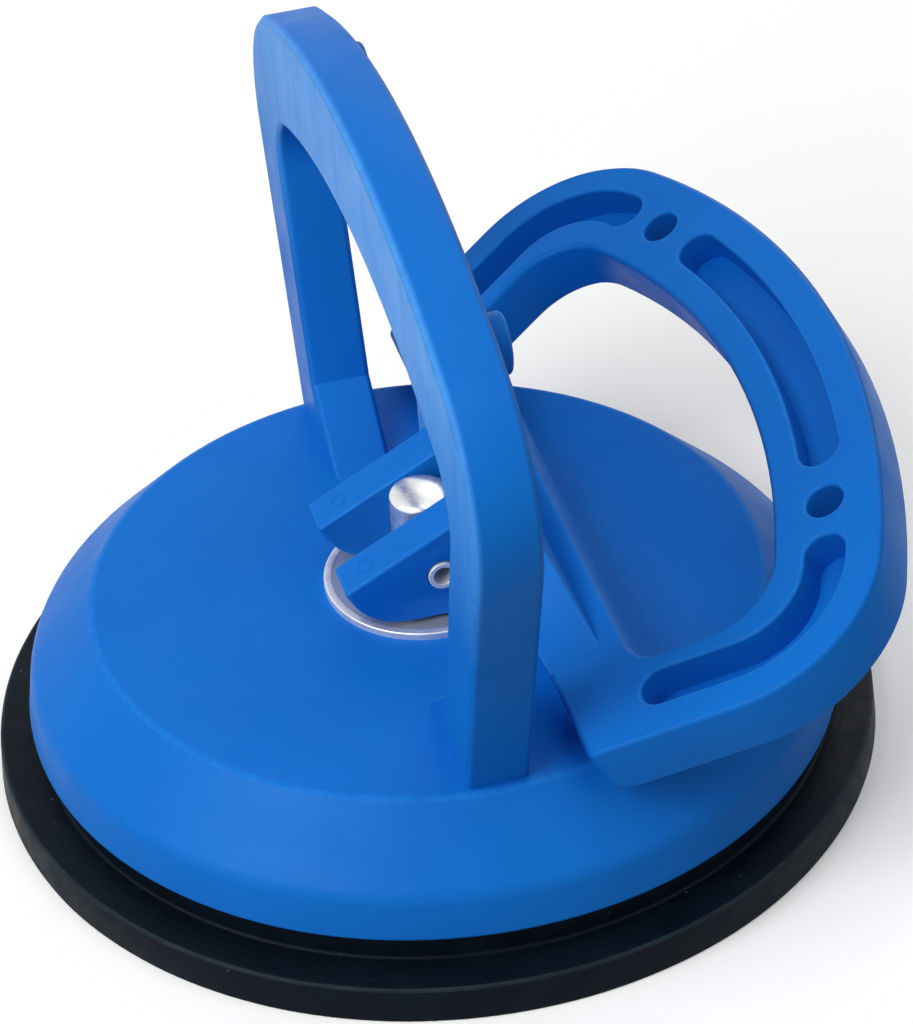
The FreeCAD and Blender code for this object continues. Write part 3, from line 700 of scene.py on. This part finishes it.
@dataclass(frozen=True)
class Section:
    """Half section of a turned form: corners as (radius, height, rounding)."""

    corners: tuple[Corner, ...]
    closed: bool = False
    steps: int = 5

    def points(self) -> list[Vector]:
        """Works out the section's points, with its roundings as arcs.

        Returns:
            Points in the XZ plane. A closed section ends where it starts.
        """
        flat = [Vector((radius, height)) for radius, height, _ in self.corners]
        points: list[Vector] = []
        for index, (_, _, rounding) in enumerate(self.corners):
            here, before = flat[index], flat[index - 1]
            after = flat[(index + 1) % len(flat)]
            if rounding <= 0.0:
                points.append(here)
                continue
            back, ahead = (before - here).normalized(), (after - here).normalized()
            half = back.angle(ahead) / 2
            setback = rounding / math.tan(half)
            centre = here + (back + ahead).normalized() * (rounding / math.sin(half))
            start, end = here + back * setback - centre, here + ahead * setback - centre
            sweep = start.angle_signed(end)
            for step in range(self.steps + 1):
                turn = Matrix.Rotation(-sweep * step / self.steps, 2)
                points.append(centre + turn @ start)
        if self.closed:
            points.append(points[0].copy())
        return [Vector((point.x, 0.0, point.y)) for point in points]


class TurnedForm(FormGraph):
    """Geometry Nodes tree that turns a section about the upright axis into a closed mesh."""

    RIPPLE_WAVES = 3.0
    RIPPLE_DETAIL = 2.0
    RIPPLE_SEED = 7.0
    MERGE_ROOM = 1e-7

    def __init__(self) -> None:
        """Builds the tree: a grid is laid out, and its points are put on the turned section."""
        super().__init__(
            "turned_form",
            section="NodeSocketGeometry",
            segments="NodeSocketInt",
            ripple="NodeSocketFloat",
            ripple_start="NodeSocketFloat",
            ripple_end="NodeSocketFloat",
        )
        section = self.given["section"]
        size = self.add("GeometryNodeAttributeDomainSize", {"Geometry": section}, component="MESH")
        count = size.outputs["Point Count"]
        rows = self.calculate(Maths.ADD, self.given["segments"], 1.0)
        feeds = {"Size X": 1.0, "Size Y": 1.0, "Vertices X": count, "Vertices Y": rows}
        grid = self.add("GeometryNodeMeshGrid", feeds)
        place = self.add("GeometryNodeInputPosition").outputs["Position"]
        across = self.add("ShaderNodeSeparateXYZ", {0: place}).outputs
        share = self.calculate(Maths.ADD, across["X"], 0.5)
        last = self.calculate(Maths.TAKE, count, 1.0)
        index = self.add(
            "FunctionNodeFloatToInt",
            {0: self.calculate(Maths.TIMES, share, last)},
            rounding_mode="ROUND",
        )
        sampled = self.add(
            "GeometryNodeSampleIndex",
            {"Geometry": section, "Value": place, "Index": index.outputs[0]},
            data_type="FLOAT_VECTOR",
            domain="POINT",
        )
        point = self.add("ShaderNodeSeparateXYZ", {0: sampled.outputs["Value"]}).outputs
        around = self.calculate(Maths.ADD, across["Y"], 0.5)
        angle = self.calculate(Maths.TIMES, around, math.tau)
        cosine, sine = self.calculate(Maths.COSINE, angle), self.calculate(Maths.SINE, angle)
        radius = self.calculate(Maths.TAKE, point["X"], self._ripple(point["X"], cosine, sine))
        along, aside = (self.calculate(Maths.TIMES, radius, way) for way in (cosine, sine))
        put = self.add("ShaderNodeCombineXYZ", {"X": along, "Y": aside, "Z": point["Z"]})
        moved = self.add(
            "GeometryNodeSetPosition",
            {"Geometry": grid.outputs["Mesh"], "Position": put.outputs[0]},
        )
        merged = self.add(
            "GeometryNodeMergeByDistance",
            {"Geometry": moved.outputs[0], "Distance": self.MERGE_ROOM},
        )
        smooth = self.add("GeometryNodeSetShadeSmooth", {"Geometry": merged.outputs[0]})
        self.close(smooth.outputs[0])

    def _ripple(
        self,
        radius: bpy.types.NodeSocket,
        cosine: bpy.types.NodeSocket,
        sine: bpy.types.NodeSocket,
    ) -> bpy.types.NodeSocket:
        """Returns how far the waves in the outer edge pull a point in.

        Args:
            radius: Radius of the point.
            cosine: Cosine of its angle.
            sine: Sine of its angle.

        Returns:
            The length output.
        """
        ring = self.add("ShaderNodeCombineXYZ", {"X": cosine, "Y": sine})
        wave = self.add(
            "ShaderNodeTexNoise",
            {
                "Vector": ring.outputs[0],
                "W": self.RIPPLE_SEED,
                "Scale": self.RIPPLE_WAVES,
                "Detail": self.RIPPLE_DETAIL,
            },
            noise_dimensions="4D",
        )
        reach = (self.given["ripple_start"], self.given["ripple_end"])
        depth = self.remap(radius, reach, (0.0, self.given["ripple"]))
        return self.calculate(Maths.TIMES, depth, wave.outputs[0])

    def turn(
        self,
        name: str,
        section: Section,
        finish: bpy.types.Material,
        segments: int,
        ripple: Corner = (0.0, 0.0, 1.0),
        crease: float = 30.0,
    ) -> bpy.types.Object:
        """Turns a section into a piece.

        Args:
            name: Name of the piece.
            section: Its half section.
            finish: Its material.
            segments: How many flats go round.
            ripple: Depth of the waves in the outer edge, and the radii between which they grow.
            crease: Angle past which an edge stays sharp.

        Returns:
            The piece, as a plain mesh.
        """
        points = section.points()
        mesh = bpy.data.meshes.new(name)
        mesh.from_pydata(points, [(i, i + 1) for i in range(len(points) - 1)], [])
        piece = new_object(name, mesh)
        ripples = dict(zip(("ripple", "ripple_start", "ripple_end"), ripple))
        self.form(piece, segments=segments, finish=finish, **ripples)
        with editing(piece.data) as shape:
            bmesh.ops.recalc_face_normals(shape, faces=shape.faces)
        piece.data.set_sharp_from_angle(angle=math.radians(crease))
        return piece


# Sub-assemblies ---------------------------------------------------------------


class SubAssembly(ABC):
    """A group of pieces that is built and dressed together."""

    @abstractmethod
    def build(self) -> None:
        """Builds the pieces, dresses them and seats them on their bodies."""


@dataclass
class SoftenedMoulding(SubAssembly):
    """A moulded piece: its CAD solid with the edges softened as a mould leaves them."""

    node: str
    name: str
    body: Body
    finish: SatinPlastic
    edge: float = 0.45 * MM
    rim_edges: tuple[Span, ...] = ()
    level_room: float = 0.01 * MM
    unworn_below: float = 0.0
    shallow_edge: float = 0.25 * MM
    crease: float = 50.0
    shallow_crease: float = 20.0
    hollow_crease: float = 12.0
    chamfer_width: float = 1.6 * MM
    edge_steps: int = 3
    face_weight: int = 90

    def build(self) -> None:
        """Copies the solid, softens its edges and dresses it."""
        plastic = self.finish.material()
        piece = copy_solid(self.node, self.name, plastic)
        with editing(piece.data) as shape:
            self._weigh(shape)
        # The softened edges have a slot of their own until they are marked.
        bevel_slot = len(piece.data.materials)
        piece.data.materials.append(plastic)
        bevel = piece.modifiers.new("softened_edges", "BEVEL")
        bevel.limit_method = "WEIGHT"
        bevel.width = self._widest()
        bevel.segments = self.edge_steps
        bevel.use_clamp_overlap = False
        bevel.material = bevel_slot
        even = piece.modifiers.new("even_shading", "WEIGHTED_NORMAL")
        even.mode = "FACE_AREA"
        even.weight = self.face_weight
        even.keep_sharp = True
        make_plain(piece)
        worn = [
            face.material_index == bevel_slot and face.center.z > self.unworn_below
            for face in piece.data.polygons
        ]
        mark_corners(piece.data, worn)
        dress(piece.data, plastic)
        seat(piece, self.body, Slot.PLASTIC, self.node)

    def _weigh(self, shape: bmesh.types.BMesh) -> None:
        """Gives each outer crease its bevel weight, and keeps the inner ones sharp.

        Args:
            shape: The mesh, changed in place.
        """
        weight = shape.edges.layers.float.new("bevel_weight_edge")
        for edge in shape.edges:
            if len(edge.link_faces) != 2:
                continue
            turn = math.degrees(edge.calc_face_angle(0.0))
            if not edge.is_convex:
                edge.smooth = turn < self.hollow_crease
                continue
            width = self.edge if turn > self.crease else 0.0
            if self.shallow_crease < turn <= self.crease and not self._beside_chamfer(edge):
                width = self.shallow_edge
            for height, rim_width in self.rim_edges:
                level = all(abs(vert.co.z - height) < self.level_room for vert in edge.verts)
                if level and turn > self.hollow_crease:
                    width = rim_width
            edge[weight] = width / self._widest()

    def _beside_chamfer(self, edge: bmesh.types.BMEdge) -> bool:
        """Tells whether an edge borders a face as narrow as a chamfer.

        Args:
            edge: Edge with two faces.

        Returns:
            True where one of them is.
        """
        return any(
            face.calc_area() / max(side.calc_length() for side in face.edges) < self.chamfer_width
            for face in edge.link_faces
        )

    def _widest(self) -> float:
        """Returns the width of the broadest softened edge."""
        return max([self.edge, *(width for _, width in self.rim_edges)])


class RingPair(FormGraph):
    """Geometry Nodes tree that lays two thin rings side by side."""

    def __init__(self, ring_steps: int, wire_steps: int) -> None:
        """Builds the tree.

        Args:
            ring_steps: How many flats go round a ring.
            wire_steps: How many flats go round its wire.
        """
        super().__init__(
            "ring_pair",
            spacing="NodeSocketFloat",
            radius="NodeSocketFloat",
            thickness="NodeSocketFloat",
        )
        spacing = self.given["spacing"]
        half = self.calculate(Maths.TIMES, spacing, -0.5)
        start, step = (self.add("ShaderNodeCombineXYZ", {"Y": y}) for y in (half, spacing))
        line = self.add(
            "GeometryNodeMeshLine",
            {"Count": 2, "Start Location": start.outputs[0], "Offset": step.outputs[0]},
        )
        ring, wire = (
            self.add("GeometryNodeCurvePrimitiveCircle", {"Resolution": steps, "Radius": radius})
            for steps, radius in (
                (ring_steps, self.given["radius"]),
                (wire_steps, self.given["thickness"]),
            )
        )
        sweep = self.add(
            "GeometryNodeCurveToMesh",
            {"Curve": ring.outputs["Curve"], "Profile Curve": wire.outputs["Curve"]},
        )
        copies = self.add(
            "GeometryNodeInstanceOnPoints",
            {"Points": line.outputs["Mesh"], "Instance": sweep.outputs["Mesh"]},
        )
        self.close(copies.outputs["Instances"])


@dataclass
class PinMarks(SubAssembly):
    """Small rings that the mould's ejector pins leave on top of the fork, near its ends."""

    lean: float
    prong_offset: float = 7.35 * MM
    prong_rise: float = 6.0 * MM
    from_pivot: float = 7.6 * MM
    radius: float = 1.05 * MM
    thickness: float = 0.09 * MM
    ring_steps: int = 40
    wire_steps: int = 8

    def build(self) -> None:
        """Lays one ring on each prong."""
        piece = new_object("fork_pin_marks", bpy.data.meshes.new("fork_pin_marks"))
        RingPair(self.ring_steps, self.wire_steps).form(
            piece,
            spacing=self.prong_offset * 2,
            radius=self.radius,
            thickness=self.thickness,
            finish=SatinPlastic("pin_mark_plastic").material(),
        )
        mark_corners(piece.data, [False] * len(piece.data.polygons))
        low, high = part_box("roll_pin")
        pivot = Matrix.Translation((0.0, 0.0, (low.z + high.z) / 2))
        swing = Matrix.Rotation(math.radians(self.lean), 4, "Y")
        local = Matrix.Translation((-self.prong_rise, 0.0, -self.from_pivot))
        piece.data.transform(pivot @ swing @ local @ Matrix.Rotation(math.pi / 2, 4, "Y"))
        seat(piece, Body.LEVER, Slot.PLASTIC)


@dataclass
class RubberPad(SubAssembly):
    """Suction pad: a rim that stays with the housing and a middle that the stud pulls up."""

    turner: TurnedForm
    node: str = "suction_pad"
    rim_height: float = 5.0 * MM
    rim_draft: float = 0.4 * MM
    rim_edge: float = 0.45 * MM
    rim_room: float = 0.01 * MM
    lip: float = 9.0 * MM
    lip_edge: float = 0.25 * MM
    cup_slope: float = 5.0 * MM
    cup_edge: float = 1.5 * MM
    cup_depth: float = 1.2 * MM
    cup_middle: float = 2.2 * MM
    dome_edge: float = 6.0 * MM
    seat_inset: float = 6.25 * MM
    seat_height: float = 9.0 * MM
    seat_edge: float = 0.2 * MM
    seat_foot: float = 0.5 * MM
    spigot_inset: float = 9.1 * MM
    spigot_width: float = 5.0 * MM
    spigot_edge: float = 0.5 * MM
    spigot_foot: float = 0.3 * MM
    split: float = 44.0 * MM
    plate_reach: float = 20.3 * MM
    plate_cover: float = 1.6 * MM
    boss_height: float = 8.5 * MM
    boss_edge: float = 0.6 * MM
    boss_foot: float = 0.8 * MM
    mouth: float = 6.8 * MM
    mouth_edge: float = 0.3 * MM
    cavity: Span = (4.3 * MM, 6.9 * MM)
    ripple: float = 0.22 * MM
    segments: int = 192

    def build(self) -> None:
        """Turns both parts of the pad and dresses them."""
        rubber = MatteRubber().material()
        _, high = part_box(self.node)
        rim = self.turner.turn(
            "pad_rim",
            self._rim_section(high.x, high.z),
            rubber,
            self.segments,
            (self.ripple, high.x - self.lip, high.x),
        )
        self._mark_rim(rim.data, high.x)
        seat(rim, Body.BASE, Slot.RUBBER, self.node)
        middle = self.turner.turn("pad_middle", self._middle_section(), rubber, self.segments)
        mark_corners(middle.data, [False] * len(middle.data.polygons))
        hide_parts(self.node)
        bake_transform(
            middle,
            Body.BASE.value,
            Body.STUD.value,
            start=(0.0, 0.0, self.cup_depth),
            end=(0.0, 0.0, self.cup_middle),
        )
        LOG.info("pad_middle: bends between base and stud")

    def _rim_section(self, radius: float, top: float) -> Section:
        """Returns the section of the outer part.

        Args:
            radius: Radius of the pad at the floor.
            top: Height of the ring that centres it in the housing.

        Returns:
            A closed section.
        """
        lip = radius - self.lip
        rim = radius - self.rim_draft
        seat_at = radius - self.seat_inset
        spigot = radius - self.spigot_inset
        inner = spigot - self.spigot_width
        return Section(
            (
                (self.split, self.cup_depth, 0.0),
                (lip - self.cup_slope, self.cup_depth, self.cup_edge),
                (lip, 0.0, self.cup_edge),
                (radius, 0.0, self.lip_edge),
                (rim, self.rim_height, self.rim_edge),
                (seat_at, self.rim_height, self.seat_foot),
                (seat_at, self.seat_height, self.seat_edge),
                (spigot, self.seat_height, self.seat_edge),
                (spigot, top, self.spigot_edge),
                (inner, top, self.spigot_edge),
                (inner, self.rim_height, self.spigot_foot),
                (self.split, self.rim_height, 0.0),
            ),
            closed=True,
        )

    def _middle_section(self) -> Section:
        """Returns the section of the part that moves with the stud."""
        low, high = self.cavity
        boss = self.plate_reach + self.plate_cover
        return Section(
            (
                (0.0, self.cup_middle, 0.0),
                (self.plate_reach, self.cup_middle, self.dome_edge),
                (self.split, self.cup_depth, 0.0),
                (self.split, self.rim_height, 0.0),
                (boss, self.rim_height, self.boss_foot),
                (boss, self.boss_height, self.boss_edge),
                (self.mouth, self.boss_height, self.mouth_edge),
                (self.mouth, high, 0.0),
                (self.plate_reach, high, 0.0),
                (self.plate_reach, low, 0.0),
                (0.0, low, 0.0),
            )
        )

    def _mark_rim(self, mesh: bpy.types.Mesh, radius: float) -> None:
        """Marks the rubbed upper edge of the rim.

        Args:
            mesh: Mesh of the rim.
            radius: Radius of the pad.
        """
        low, high = self.rim_height - self.rim_edge, self.rim_height + self.rim_room
        near = radius - self.rim_draft - self.rim_edge * ROUNDING_REACH
        at_edge = [
            low < face.center.z < high and face.center.xy.length > near for face in mesh.polygons
        ]
        mark_corners(mesh, at_edge)


@dataclass
class StudGroup(SubAssembly):
    """Pull stud with its spring pin, and the plate that it is riveted to."""

    turner: TurnedForm
    crown: float = 0.7 * MM
    crown_edge: float = 0.8 * MM
    crown_steps: int = 6
    post: float = 4.1 * MM
    collar: float = 6.5 * MM
    collar_height: float = 2.0 * MM
    collar_foot: float = 0.15 * MM
    collar_edge: float = 0.2 * MM
    spigot: float = 3.0 * MM
    flare: float = 1.0 * MM
    crease: float = 32.0
    segments: int = 96
    drill_radii: float = 4.0
    drill_segments: int = 64
    pin_clear: float = 0.02 * MM
    sliver: float = 0.0005 * MM
    pin_edge: float = 0.14 * MM
    pin_edge_steps: int = 2
    pin_crease: float = 40.0

    def build(self) -> None:
        """Turns the stud, softens the pin and dresses the plate."""
        bright = Steel("bright_plated_steel", ring_depth=0.0005 * MM, metal=0.85).material()
        self._build_stud(bright)
        self._build_pin(Steel("spring_steel", roughness=(0.3, 0.4), metal=0.4).material())
        plain = Steel(
            "plain_plate_steel",
            colour=(0.55, 0.55, 0.56),
            tarnish=(0.36, 0.36, 0.36),
            roughness=(0.34, 0.5),
            ring_scale=300.0,
        ).material()
        dress(bpy.data.objects["anchor_plate"].data, plain)
        LOG.info("anchor_plate: dressed")

    def _build_stud(self, steel: bpy.types.Material) -> None:
        """Turns the stud and drills its cross hole.

        Args:
            steel: Its material.
        """
        low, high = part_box("pull_stud")
        _, plate_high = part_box("anchor_plate")
        collar_top = plate_high.z + self.collar_height
        corners = [
            (0.0, low.z, 0.0),
            (self.spigot + self.flare, low.z, 0.0),
            (self.spigot, low.z + self.flare, 0.0),
            (self.spigot, plate_high.z, 0.0),
            (self.collar, plate_high.z, self.collar_foot),
            (self.collar, collar_top, self.collar_edge),
            (self.post, collar_top, self.collar_edge),
            (self.post, high.z - self.crown, self.crown_edge),
        ]
        dome = (self.post**2 + self.crown**2) / (2 * self.crown)
        reach = self.post - self.crown_edge * ROUNDING_REACH
        for step in range(self.crown_steps + 1):
            radius = reach * (1 - step / self.crown_steps)
            corners.append((radius, high.z - dome + math.sqrt(dome**2 - radius**2), 0.0))
        stud = self.turner.turn("stud_post", Section(tuple(corners)), steel, self.segments)
        drill = self._drill()
        cut = stud.modifiers.new("pin_hole", "BOOLEAN")
        cut.operation = "DIFFERENCE"
        cut.solver = "EXACT"
        cut.object = drill
        make_plain(stud)
        bpy.data.objects.remove(drill)
        with editing(stud.data) as shape:
            bmesh.ops.triangulate(shape, faces=shape.faces, ngon_method="BEAUTY")
            bmesh.ops.dissolve_degenerate(shape, dist=self.sliver, edges=shape.edges)
        stud.data.set_sharp_from_angle(angle=math.radians(self.crease))
        seat(stud, Body.STUD, Slot.BRIGHT, "pull_stud")

    def _drill(self) -> bpy.types.Object:
        """Makes the rod that cuts the pin's hole, turned half a step to miss the stud's corners.

        Returns:
            The rod, which is removed after the cut.
        """
        low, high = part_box("roll_pin")
        radius = (high.z - low.z) / 2 + self.pin_clear
        place = Matrix.Translation((0.0, 0.0, (low.z + high.z) / 2))
        turn = Matrix.Rotation(math.pi / 2, 4, "X")
        half_step = Matrix.Rotation(math.pi / self.drill_segments, 4, "Z")
        mesh = bpy.data.meshes.new("drill")
        with editing(mesh) as shape:
            bmesh.ops.create_cone(
                shape,
                cap_ends=True,
                segments=self.drill_segments,
                radius1=radius,
                radius2=radius,
                depth=self.post * self.drill_radii,
                matrix=place @ turn @ half_step,
            )
        return new_object("drill", mesh)

    def _build_pin(self, steel: bpy.types.Material) -> None:
        """Softens the ends of the rolled pin.

        Args:
            steel: Its material.
        """
        pin = copy_solid("roll_pin", "spring_pin", steel)
        pin.data.shade_smooth()
        bevel = pin.modifiers.new("softened_ends", "BEVEL")
        bevel.width = self.pin_edge
        bevel.segments = self.pin_edge_steps
        bevel.limit_method = "ANGLE"
        bevel.angle_limit = math.radians(self.pin_crease)
        bevel.harden_normals = True
        make_plain(pin)
        seat(pin, Body.STUD, Slot.PLAIN, "roll_pin")


@dataclass
class ThrustWasher(SubAssembly):
    """Bright washer with a raised rim, which the fork bears on."""

    turner: TurnedForm
    rim_width: float = 1.0 * MM
    rim_rise: float = 0.2 * MM
    bore: float = 4.5 * MM
    edge: float = 0.12 * MM
    outer_edge: float = 0.18 * MM
    crease: float = 50.0
    segments: int = 128

    def build(self) -> None:
        """Turns the washer and dresses it."""
        low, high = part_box("thrust_washer")
        top = high.z - self.rim_rise
        steel = Steel("bright_washer_steel", roughness=(0.34, 0.46), metal=0.7).material()
        section = Section(
            (
                (self.bore, low.z, 0.0),
                (high.x, low.z, 0.0),
                (high.x, high.z, self.outer_edge),
                (high.x - self.rim_width, high.z, self.edge),
                (high.x - self.rim_width - self.rim_rise, top, 0.0),
                (self.bore, top, self.edge),
            ),
            closed=True,
        )
        washer = self.turner.turn("washer_disc", section, steel, self.segments, crease=self.crease)
        seat(washer, Body.BASE, Slot.BRIGHT, "thrust_washer")


# Studio -----------------------------------------------------------------------


@dataclass(frozen=True)
class Lamp:
    """A square area lamp that faces a point."""

    name: str
    place: Corner
    watts: float
    side: float = 0.8

    def light(self, target: Vector) -> None:
        """Puts the lamp in the scene.

        Args:
            target: Point that it faces.
        """
        data = bpy.data.lights.new(self.name, "AREA")
        data.energy = self.watts
        data.size = self.side
        lamp = new_object(self.name, data)
        lamp.location = self.place
        aim = target - Vector(self.place)
        lamp.rotation_euler = aim.to_track_quat("-Z", "Y").to_euler()


@dataclass
class Studio(SubAssembly):
    """Pale floor, soft lamps, a white surround and the camera."""

    floor_side: float = 8.0
    floor_colour: Colour = (0.93, 0.93, 0.93)
    floor_bounce: Colour = (0.32, 0.32, 0.32)
    floor_lift: Span = (0.12, 0.66)
    lift_reach: Span = (0.15, 1.3)
    floor_roughness: float = 0.9
    ambient: float = 0.32
    lamps: tuple[Lamp, ...] = (
        Lamp("key_lamp", (-0.78, -0.36, 0.80), 10.2),
        Lamp("top_lamp", (0.10, -0.10, 1.2), 2.8),
        Lamp("fill_lamp", (0.7, -0.9, 0.5), 0.7),
        Lamp("back_lamp", (0.6, 0.8, 0.7), 2.0),
    )
    eye: Corner = (-0.08428, -0.39171, 0.33260)
    ahead: Corner = (0.17748, 0.78181, -0.59773)
    upright: Corner = (0.20154, 0.56562, 0.79966)
    lens: float = 135.25
    sensor: float = 36.0
    nearest: float = 0.01

    def build(self) -> None:
        """Builds the floor, the lamps, the surround and the camera."""
        self._floor()
        low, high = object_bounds()
        for lamp in self.lamps:
            lamp.light((low + high) / 2)
        self._surround()
        self._camera()
        bpy.context.scene.view_settings.view_transform = "Standard"

    def _floor(self) -> None:
        """Lays the floor."""
        half = self.floor_side / 2
        mesh = bpy.data.meshes.new("studio_floor")
        corners = [(-half, -half, 0.0), (half, -half, 0.0), (half, half, 0.0), (-half, half, 0.0)]
        mesh.from_pydata(corners, [], [(0, 1, 2, 3)])
        floor = new_object("studio_floor", mesh)
        graph = FinishGraph("pale_floor")
        path = graph.add("ShaderNodeLightPath").outputs
        seen = graph.calculate(Maths.GREATEST, path["Is Camera Ray"], path["Is Glossy Ray"])
        far = graph.add("ShaderNodeVectorMath", {0: graph.place}, operation="LENGTH")
        lift = graph.remap(far.outputs["Value"], self.lift_reach, self.floor_lift)
        material = graph.finish(
            Base_Color=graph.mix(seen, self.floor_bounce, self.floor_colour),
            Roughness=self.floor_roughness,
            Specular_IOR_Level=0.0,
            Emission_Color=WHITE,
            Emission_Strength=graph.calculate(Maths.TIMES, seen, lift),
        )
        mesh.materials.append(material)
        floor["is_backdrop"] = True

    def _surround(self) -> None:
        """Makes the world: white where it is seen or mirrored, softer where it lights."""
        world = bpy.data.worlds.new("white_surround")
        bpy.context.scene.world = world
        world.use_nodes = True
        graph = NodeGraph(world.node_tree)
        path = graph.add("ShaderNodeLightPath").outputs
        seen = path["Is Camera Ray"]
        for name in ("Is Glossy Ray", "Is Transmission Ray"):
            seen = graph.calculate(Maths.GREATEST, seen, path[name])
        strength = graph.remap(seen, (0.0, 1.0), (self.ambient, 1.0))
        back = graph.add("ShaderNodeBackground", {"Color": WHITE, "Strength": strength})
        graph.add("ShaderNodeOutputWorld", {"Surface": back.outputs[0]})

    def _camera(self) -> None:
        """Sets up the camera."""
        data = bpy.data.cameras.new("studio_camera")
        data.lens = self.lens
        data.sensor_width = self.sensor
        data.clip_start = self.nearest
        camera = new_object("studio_camera", data)
        back = -Vector(self.ahead).normalized()
        up = Vector(self.upright)
        up = (up - back * up.dot(back)).normalized()
        side = up.cross(back)
        camera.matrix_world = Matrix.Translation(self.eye) @ (
            Matrix((side, up, back)).transposed().to_4x4()
        )
        bpy.context.scene.camera = camera


# Whole lifter -----------------------------------------------------------------


DECK_EDGE = 0.55 * MM
SHOULDER_HEIGHT = 15.0 * MM
SHOULDER_EDGE = 1.1 * MM
WEAR_START = 17.0 * MM
# Heights between which the housing's crest front gets painted sheen.
PAINTED_SHEEN_HEIGHTS = (48.0 * MM, 84.0 * MM)


def main() -> None:
    """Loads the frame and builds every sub-assembly in order."""
    logging.basicConfig(level=logging.INFO, format="%(name)s: %(message)s")
    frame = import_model()
    swing = next(joint for joint in frame["joints"] if joint["name"] == "lever_swing")
    lean = swing["range_deg"][1]
    deck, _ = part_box("thrust_washer")
    lever_flow = replace(SatinPlastic.flow, turn=(0.0, lean, 0.0))
    turner = TurnedForm()
    sub_assemblies = (
        SoftenedMoulding(
            "base_housing",
            "housing_moulding",
            Body.BASE,
            SatinPlastic("housing_plastic", painted_sheen_heights=PAINTED_SHEEN_HEIGHTS),
            rim_edges=((deck.z, DECK_EDGE), (SHOULDER_HEIGHT, SHOULDER_EDGE)),
            unworn_below=WEAR_START,
        ),
        SoftenedMoulding(
            "lever_handle",
            "lever_moulding",
            Body.LEVER,
            SatinPlastic("lever_plastic", flow=lever_flow),
        ),
        PinMarks(lean),
        RubberPad(turner),
        StudGroup(turner),
        ThrustWasher(turner),
        Studio(),
    )
    for group in sub_assemblies:
        group.build()


if __name__ == "__main__":
    main()
